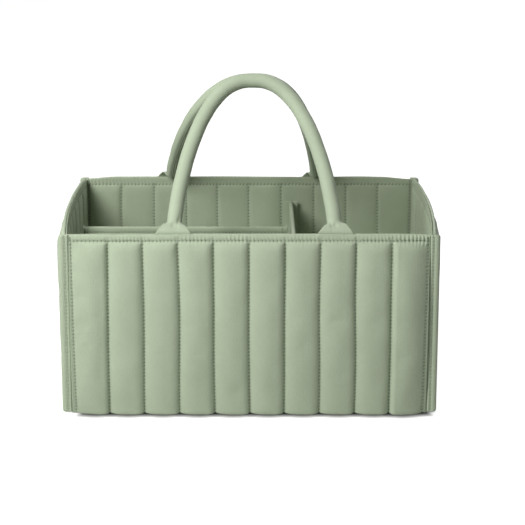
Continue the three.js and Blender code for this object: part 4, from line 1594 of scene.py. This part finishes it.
@dataclass
class Tape:
    """A strip of hook tape or loop tape: flat selvedges and a rough nap between them."""

    node: str
    body: str
    nap: float = 0.35
    selvedge: float = 1.0
    nap_waves: tuple[float, float] = (1.4, 3.0)
    rows: int = 150
    columns: int = 25

    def build(self) -> None:
        """Makes the strip, a flat ring carried upwards whose faces are roughened between the selvedges."""
        span = Span.of(self.node)
        size = span.high - span.low
        thin = int(np.argmin(size[:2]))
        wide = 1 - thin
        half_wide, half_thick = size[wide] / 2.0, size[thin] / 2.0
        heights = np.linspace(span.low[2], span.high[2], self.rows)[:, None]
        across = np.linspace(-half_wide, half_wide, self.columns)
        ring = np.concatenate([across, across[::-1]])[None, :]
        face = np.repeat([1.0, -1.0], len(across))[None, :]
        inside = smooth((half_wide - self.selvedge - np.abs(ring)) / 0.5)
        rough = Wobble(len(self.node), *self.nap_waves, waves=24)(ring, heights)
        thick = half_thick - self.nap * (1.0 - inside) - self.nap * inside * (0.5 - 0.5 * rough)
        thick = thick * rounded((half_wide - np.abs(ring)) / 0.6 + 0.3)
        points = np.zeros((len(heights), ring.shape[1], 3))
        points[..., wide] = span.middle[wide] + ring
        points[..., thin] = span.middle[thin] + face * np.clip(thick, 0.1, half_thick)
        points[..., 2] = heights
        strip = piece_from(f"{self.node}_napped", [Loft(points, heights[:, 0])])
        settle(strip, Finish.TAPE, self.body, [self.node])


@dataclass
class BasePad:
    """A flat cloth panel of the base with a soft edge and a stitched border."""

    node: str
    finish: Finish
    way: float  # 1 where its top shows and -1 where its underside does
    border: float = 7.0
    soft_edge: float = 1.2
    corner: float = 8.0  # radius of its corners, clear of the bindings
    rim: float = 0.8  # from the edge to the first step of the grid
    groove: float = 1.6  # width of the drawn-in border
    dimple: float = 0.35
    uneven: float = 0.25
    uneven_reach: float = 30.0

    def build(self) -> None:
        """Makes the panel: a flat ring across the caddy, carried along it, drawn in at its border."""
        span = Span.of(self.node)
        half_x, half_y = span.high[0], span.high[1]
        middle, half_thick = span.middle[2], (span.high[2] - span.low[2]) / 2.0
        x, edge_steps = (
            np.concatenate([[-half], np.linspace(-half + self.rim, half - self.rim, steps), [half]])
            for half, steps in ((half_x, 150), (half_y, 100))
        )
        x = x[:, None]
        reach = half_y - self.corner * (1.0 - rounded((half_x - np.abs(x)) / self.corner))
        y = np.concatenate([edge_steps, edge_steps[::-1]])[None, :] * reach / half_y
        face = np.repeat([1.0, -1.0], len(edge_steps))[None, :]
        inset = np.minimum(half_x - np.abs(x), reach - np.abs(y))
        drawn = bell(inset - self.border, self.groove)
        soft = np.clip(Wobble(len(self.node), 30.0, 110.0)(x, y), -1.0, 1.0)
        shown = self.uneven * smooth(inset / self.uneven_reach) * (0.5 - 0.5 * soft)
        shown = self.dimple * drawn + shown
        thick = half_thick - np.where(face == self.way, shown, 0.0)
        thick = thick * rounded(inset / self.soft_edge + 0.12)
        points = np.stack(np.broadcast_arrays(x, y, middle + face * thick), axis=-1)
        # painted shade in the drawn-in border
        piece = piece_from(f"{self.node}_cloth", [Loft(points, x[:, 0], 0.5 * drawn)])
        settle(piece, self.finish, "basket", [self.node])


@dataclass(frozen=True)
class Lamp:
    """A soft square studio lamp."""

    name: str
    place: tuple[float, float, float]  # metres
    aim: tuple[float, float, float]
    size: float
    power: float

    def build(self) -> None:
        """Makes the lamp."""
        data = bpy.data.lights.new(self.name, "AREA")
        data.shape, data.size, data.energy = "SQUARE", self.size, self.power
        lamp = bpy.data.objects.new(self.name, data)
        lamp.location = self.place
        lamp.rotation_euler = (Vector(self.aim) - Vector(self.place)).to_track_quat("-Z", "Y").to_euler()
        bpy.context.scene.collection.objects.link(lamp)


@dataclass(frozen=True)
class Studio:
    """White floor, soft light from the upper left, and the camera of the photograph."""

    camera_place: tuple[float, float, float] = (0.0, -1.842, 0.664)
    camera_pitch: float = 13.82  # degrees below the horizon
    lens: float = 123.3
    shift: tuple[float, float] = (0.025, -0.15)
    floor_size: float = 30.0
    fill: float = 0.21  # light of the surroundings
    white: float = 0.86  # light that the floor adds for the eye, so that it shows white
    contact: float = 12.5  # mm from the caddy over which a painted contact shadow darkens the floor
    contact_power: float = 3.6
    contact_ends: tuple = ((-0.166, -0.182), (0.178, 0.192))  # metres over which that painted shadow ends at the corners
    lamps: tuple[Lamp, ...] = (
        Lamp("key", (-0.72, -0.74, 1.02), (0.0, 0.0, 0.15), 0.6, 17.5),
        Lamp("back_fill", (1.2, 1.8, 1.5), (0.0, 0.0, 0.15), 1.4, 12.0),
    )

    def seen(self, tree: Tree) -> Socket:
        """1 for rays from the eye, straight or by way of gloss or glass, and 0 for the rest."""
        path = add_node(tree, "LightPath").node.outputs
        gloss = maths(tree, "MAXIMUM", path["Is Glossy Ray"], path["Is Transmission Ray"])
        return maths(tree, "MAXIMUM", path["Is Camera Ray"], gloss)

    def floor_material(self) -> bpy.types.Material:
        """White painted board, lifted to white for the eye, with a painted contact shadow close to the caddy;
        it keeps a shadow.
        """
        material, tree = empty_material("white studio floor")
        # painted contact shadow: ambient occlusion darkens the paint and dims the lift near the caddy,
        # between the two corner limits
        near = add_node(tree, "AmbientOcclusion", {"Distance": self.contact * MM}, "AO")
        faded = maths(tree, "POWER", near, self.contact_power)
        along = add_node(tree, "SeparateXYZ", {"Vector": add_node(tree, "TexCoord", output="Object")}, "X")
        for reach in self.contact_ends:
            faded = maths(tree, "MAXIMUM", faded, ranged(tree, along, reach, shape="SMOOTHSTEP"))
        seen = self.seen(tree)
        bare = maths(tree, "MAXIMUM", faded, maths(tree, "SUBTRACT", 1.0, seen))
        paint = add_node(tree, "BsdfDiffuse", {
            "Color": mixed(tree, bare, linear("#2c2c2b"), linear("#cacac8")),
        })
        lift = maths(tree, "MULTIPLY", seen, maths(tree, "MULTIPLY", faded, self.white))
        glow = add_node(tree, "Emission", {"Strength": lift})
        add_node(tree, "OutputMaterial", {"Surface": add_node(tree, "AddShader", {0: paint, 1: glow})})
        return material

    def build_world(self) -> None:
        """Even white surroundings: a plain fill on the caddy, and white to the eye."""
        world = bpy.data.worlds.new("studio")
        world.use_nodes = True
        tree = world.node_tree
        tree.nodes.clear()
        level = ranged(tree, self.seen(tree), (0.0, 1.0), (self.fill, 1.0))
        add_node(tree, "OutputWorld", {"Surface": add_node(tree, "Background", {"Strength": level})})
        bpy.context.scene.world = world

    def build(self) -> None:
        """Makes the floor, the light and the camera."""
        half = self.floor_size / 2.0 / MM
        corners = np.array([[-half, -half, 0.0], [half, -half, 0.0], [half, half, 0.0], [-half, half, 0.0]])
        floor = object_from("studio_floor", corners, [[0, 1, 2, 3]])
        floor.data.materials.append(self.floor_material())
        self.build_world()
        for lamp in self.lamps:
            lamp.build()
        data = bpy.data.cameras.new("camera")
        data.lens = self.lens
        data.shift_x, data.shift_y = self.shift
        camera = bpy.data.objects.new("camera", data)
        camera.location = self.camera_place
        camera.rotation_euler = (math.radians(90.0 - self.camera_pitch), 0.0, 0.0)
        bpy.context.scene.collection.objects.link(camera)
        bpy.context.scene.camera = camera
        bpy.context.scene.view_settings.view_transform = "Standard"


def dress_boards(frame: dict) -> None:
    """Gives the stiff boards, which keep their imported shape, the look of grey board."""
    for name, node in frame["nodes"].items():
        if name.endswith("_board"):
            node.data.materials.clear()
            node.data.materials.append(Finish.BOARD.material)
            LOG.info("%s: board of the frame", name)


def main() -> None:
    """Builds the studio and every piece of the caddy in order."""
    logging.basicConfig(level=logging.INFO, format="%(name)s %(message)s")
    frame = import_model()
    Studio().build()
    Walls().build()
    for node in frame["nodes"]:
        if node.endswith("corner_binding"):
            CornerBinding(node).build()
    for side, reach, sway in ((Side.FRONT, 171.5, -1.2), (Side.BACK, 169.2, 9.0)):
        Handle(side, reach, sway).build()
    Divider("cross_divider", (0.0, 1.0, 0.0)).build()
    Divider("long_divider", (1.0, 0.0, 0.0)).build()
    bodies = frame["record"]["behaviour"]["bodies"]
    for body, nodes in bodies.items():
        for node in nodes:
            if node.endswith("_tape"):
                Tape(node, body).build()
    BasePad("floor_lining", Finish.LINING, 1.0).build()
    BasePad("bottom_panel", Finish.QUILTED, -1.0).build()
    dress_boards(frame)


if __name__ == "__main__":
    main()
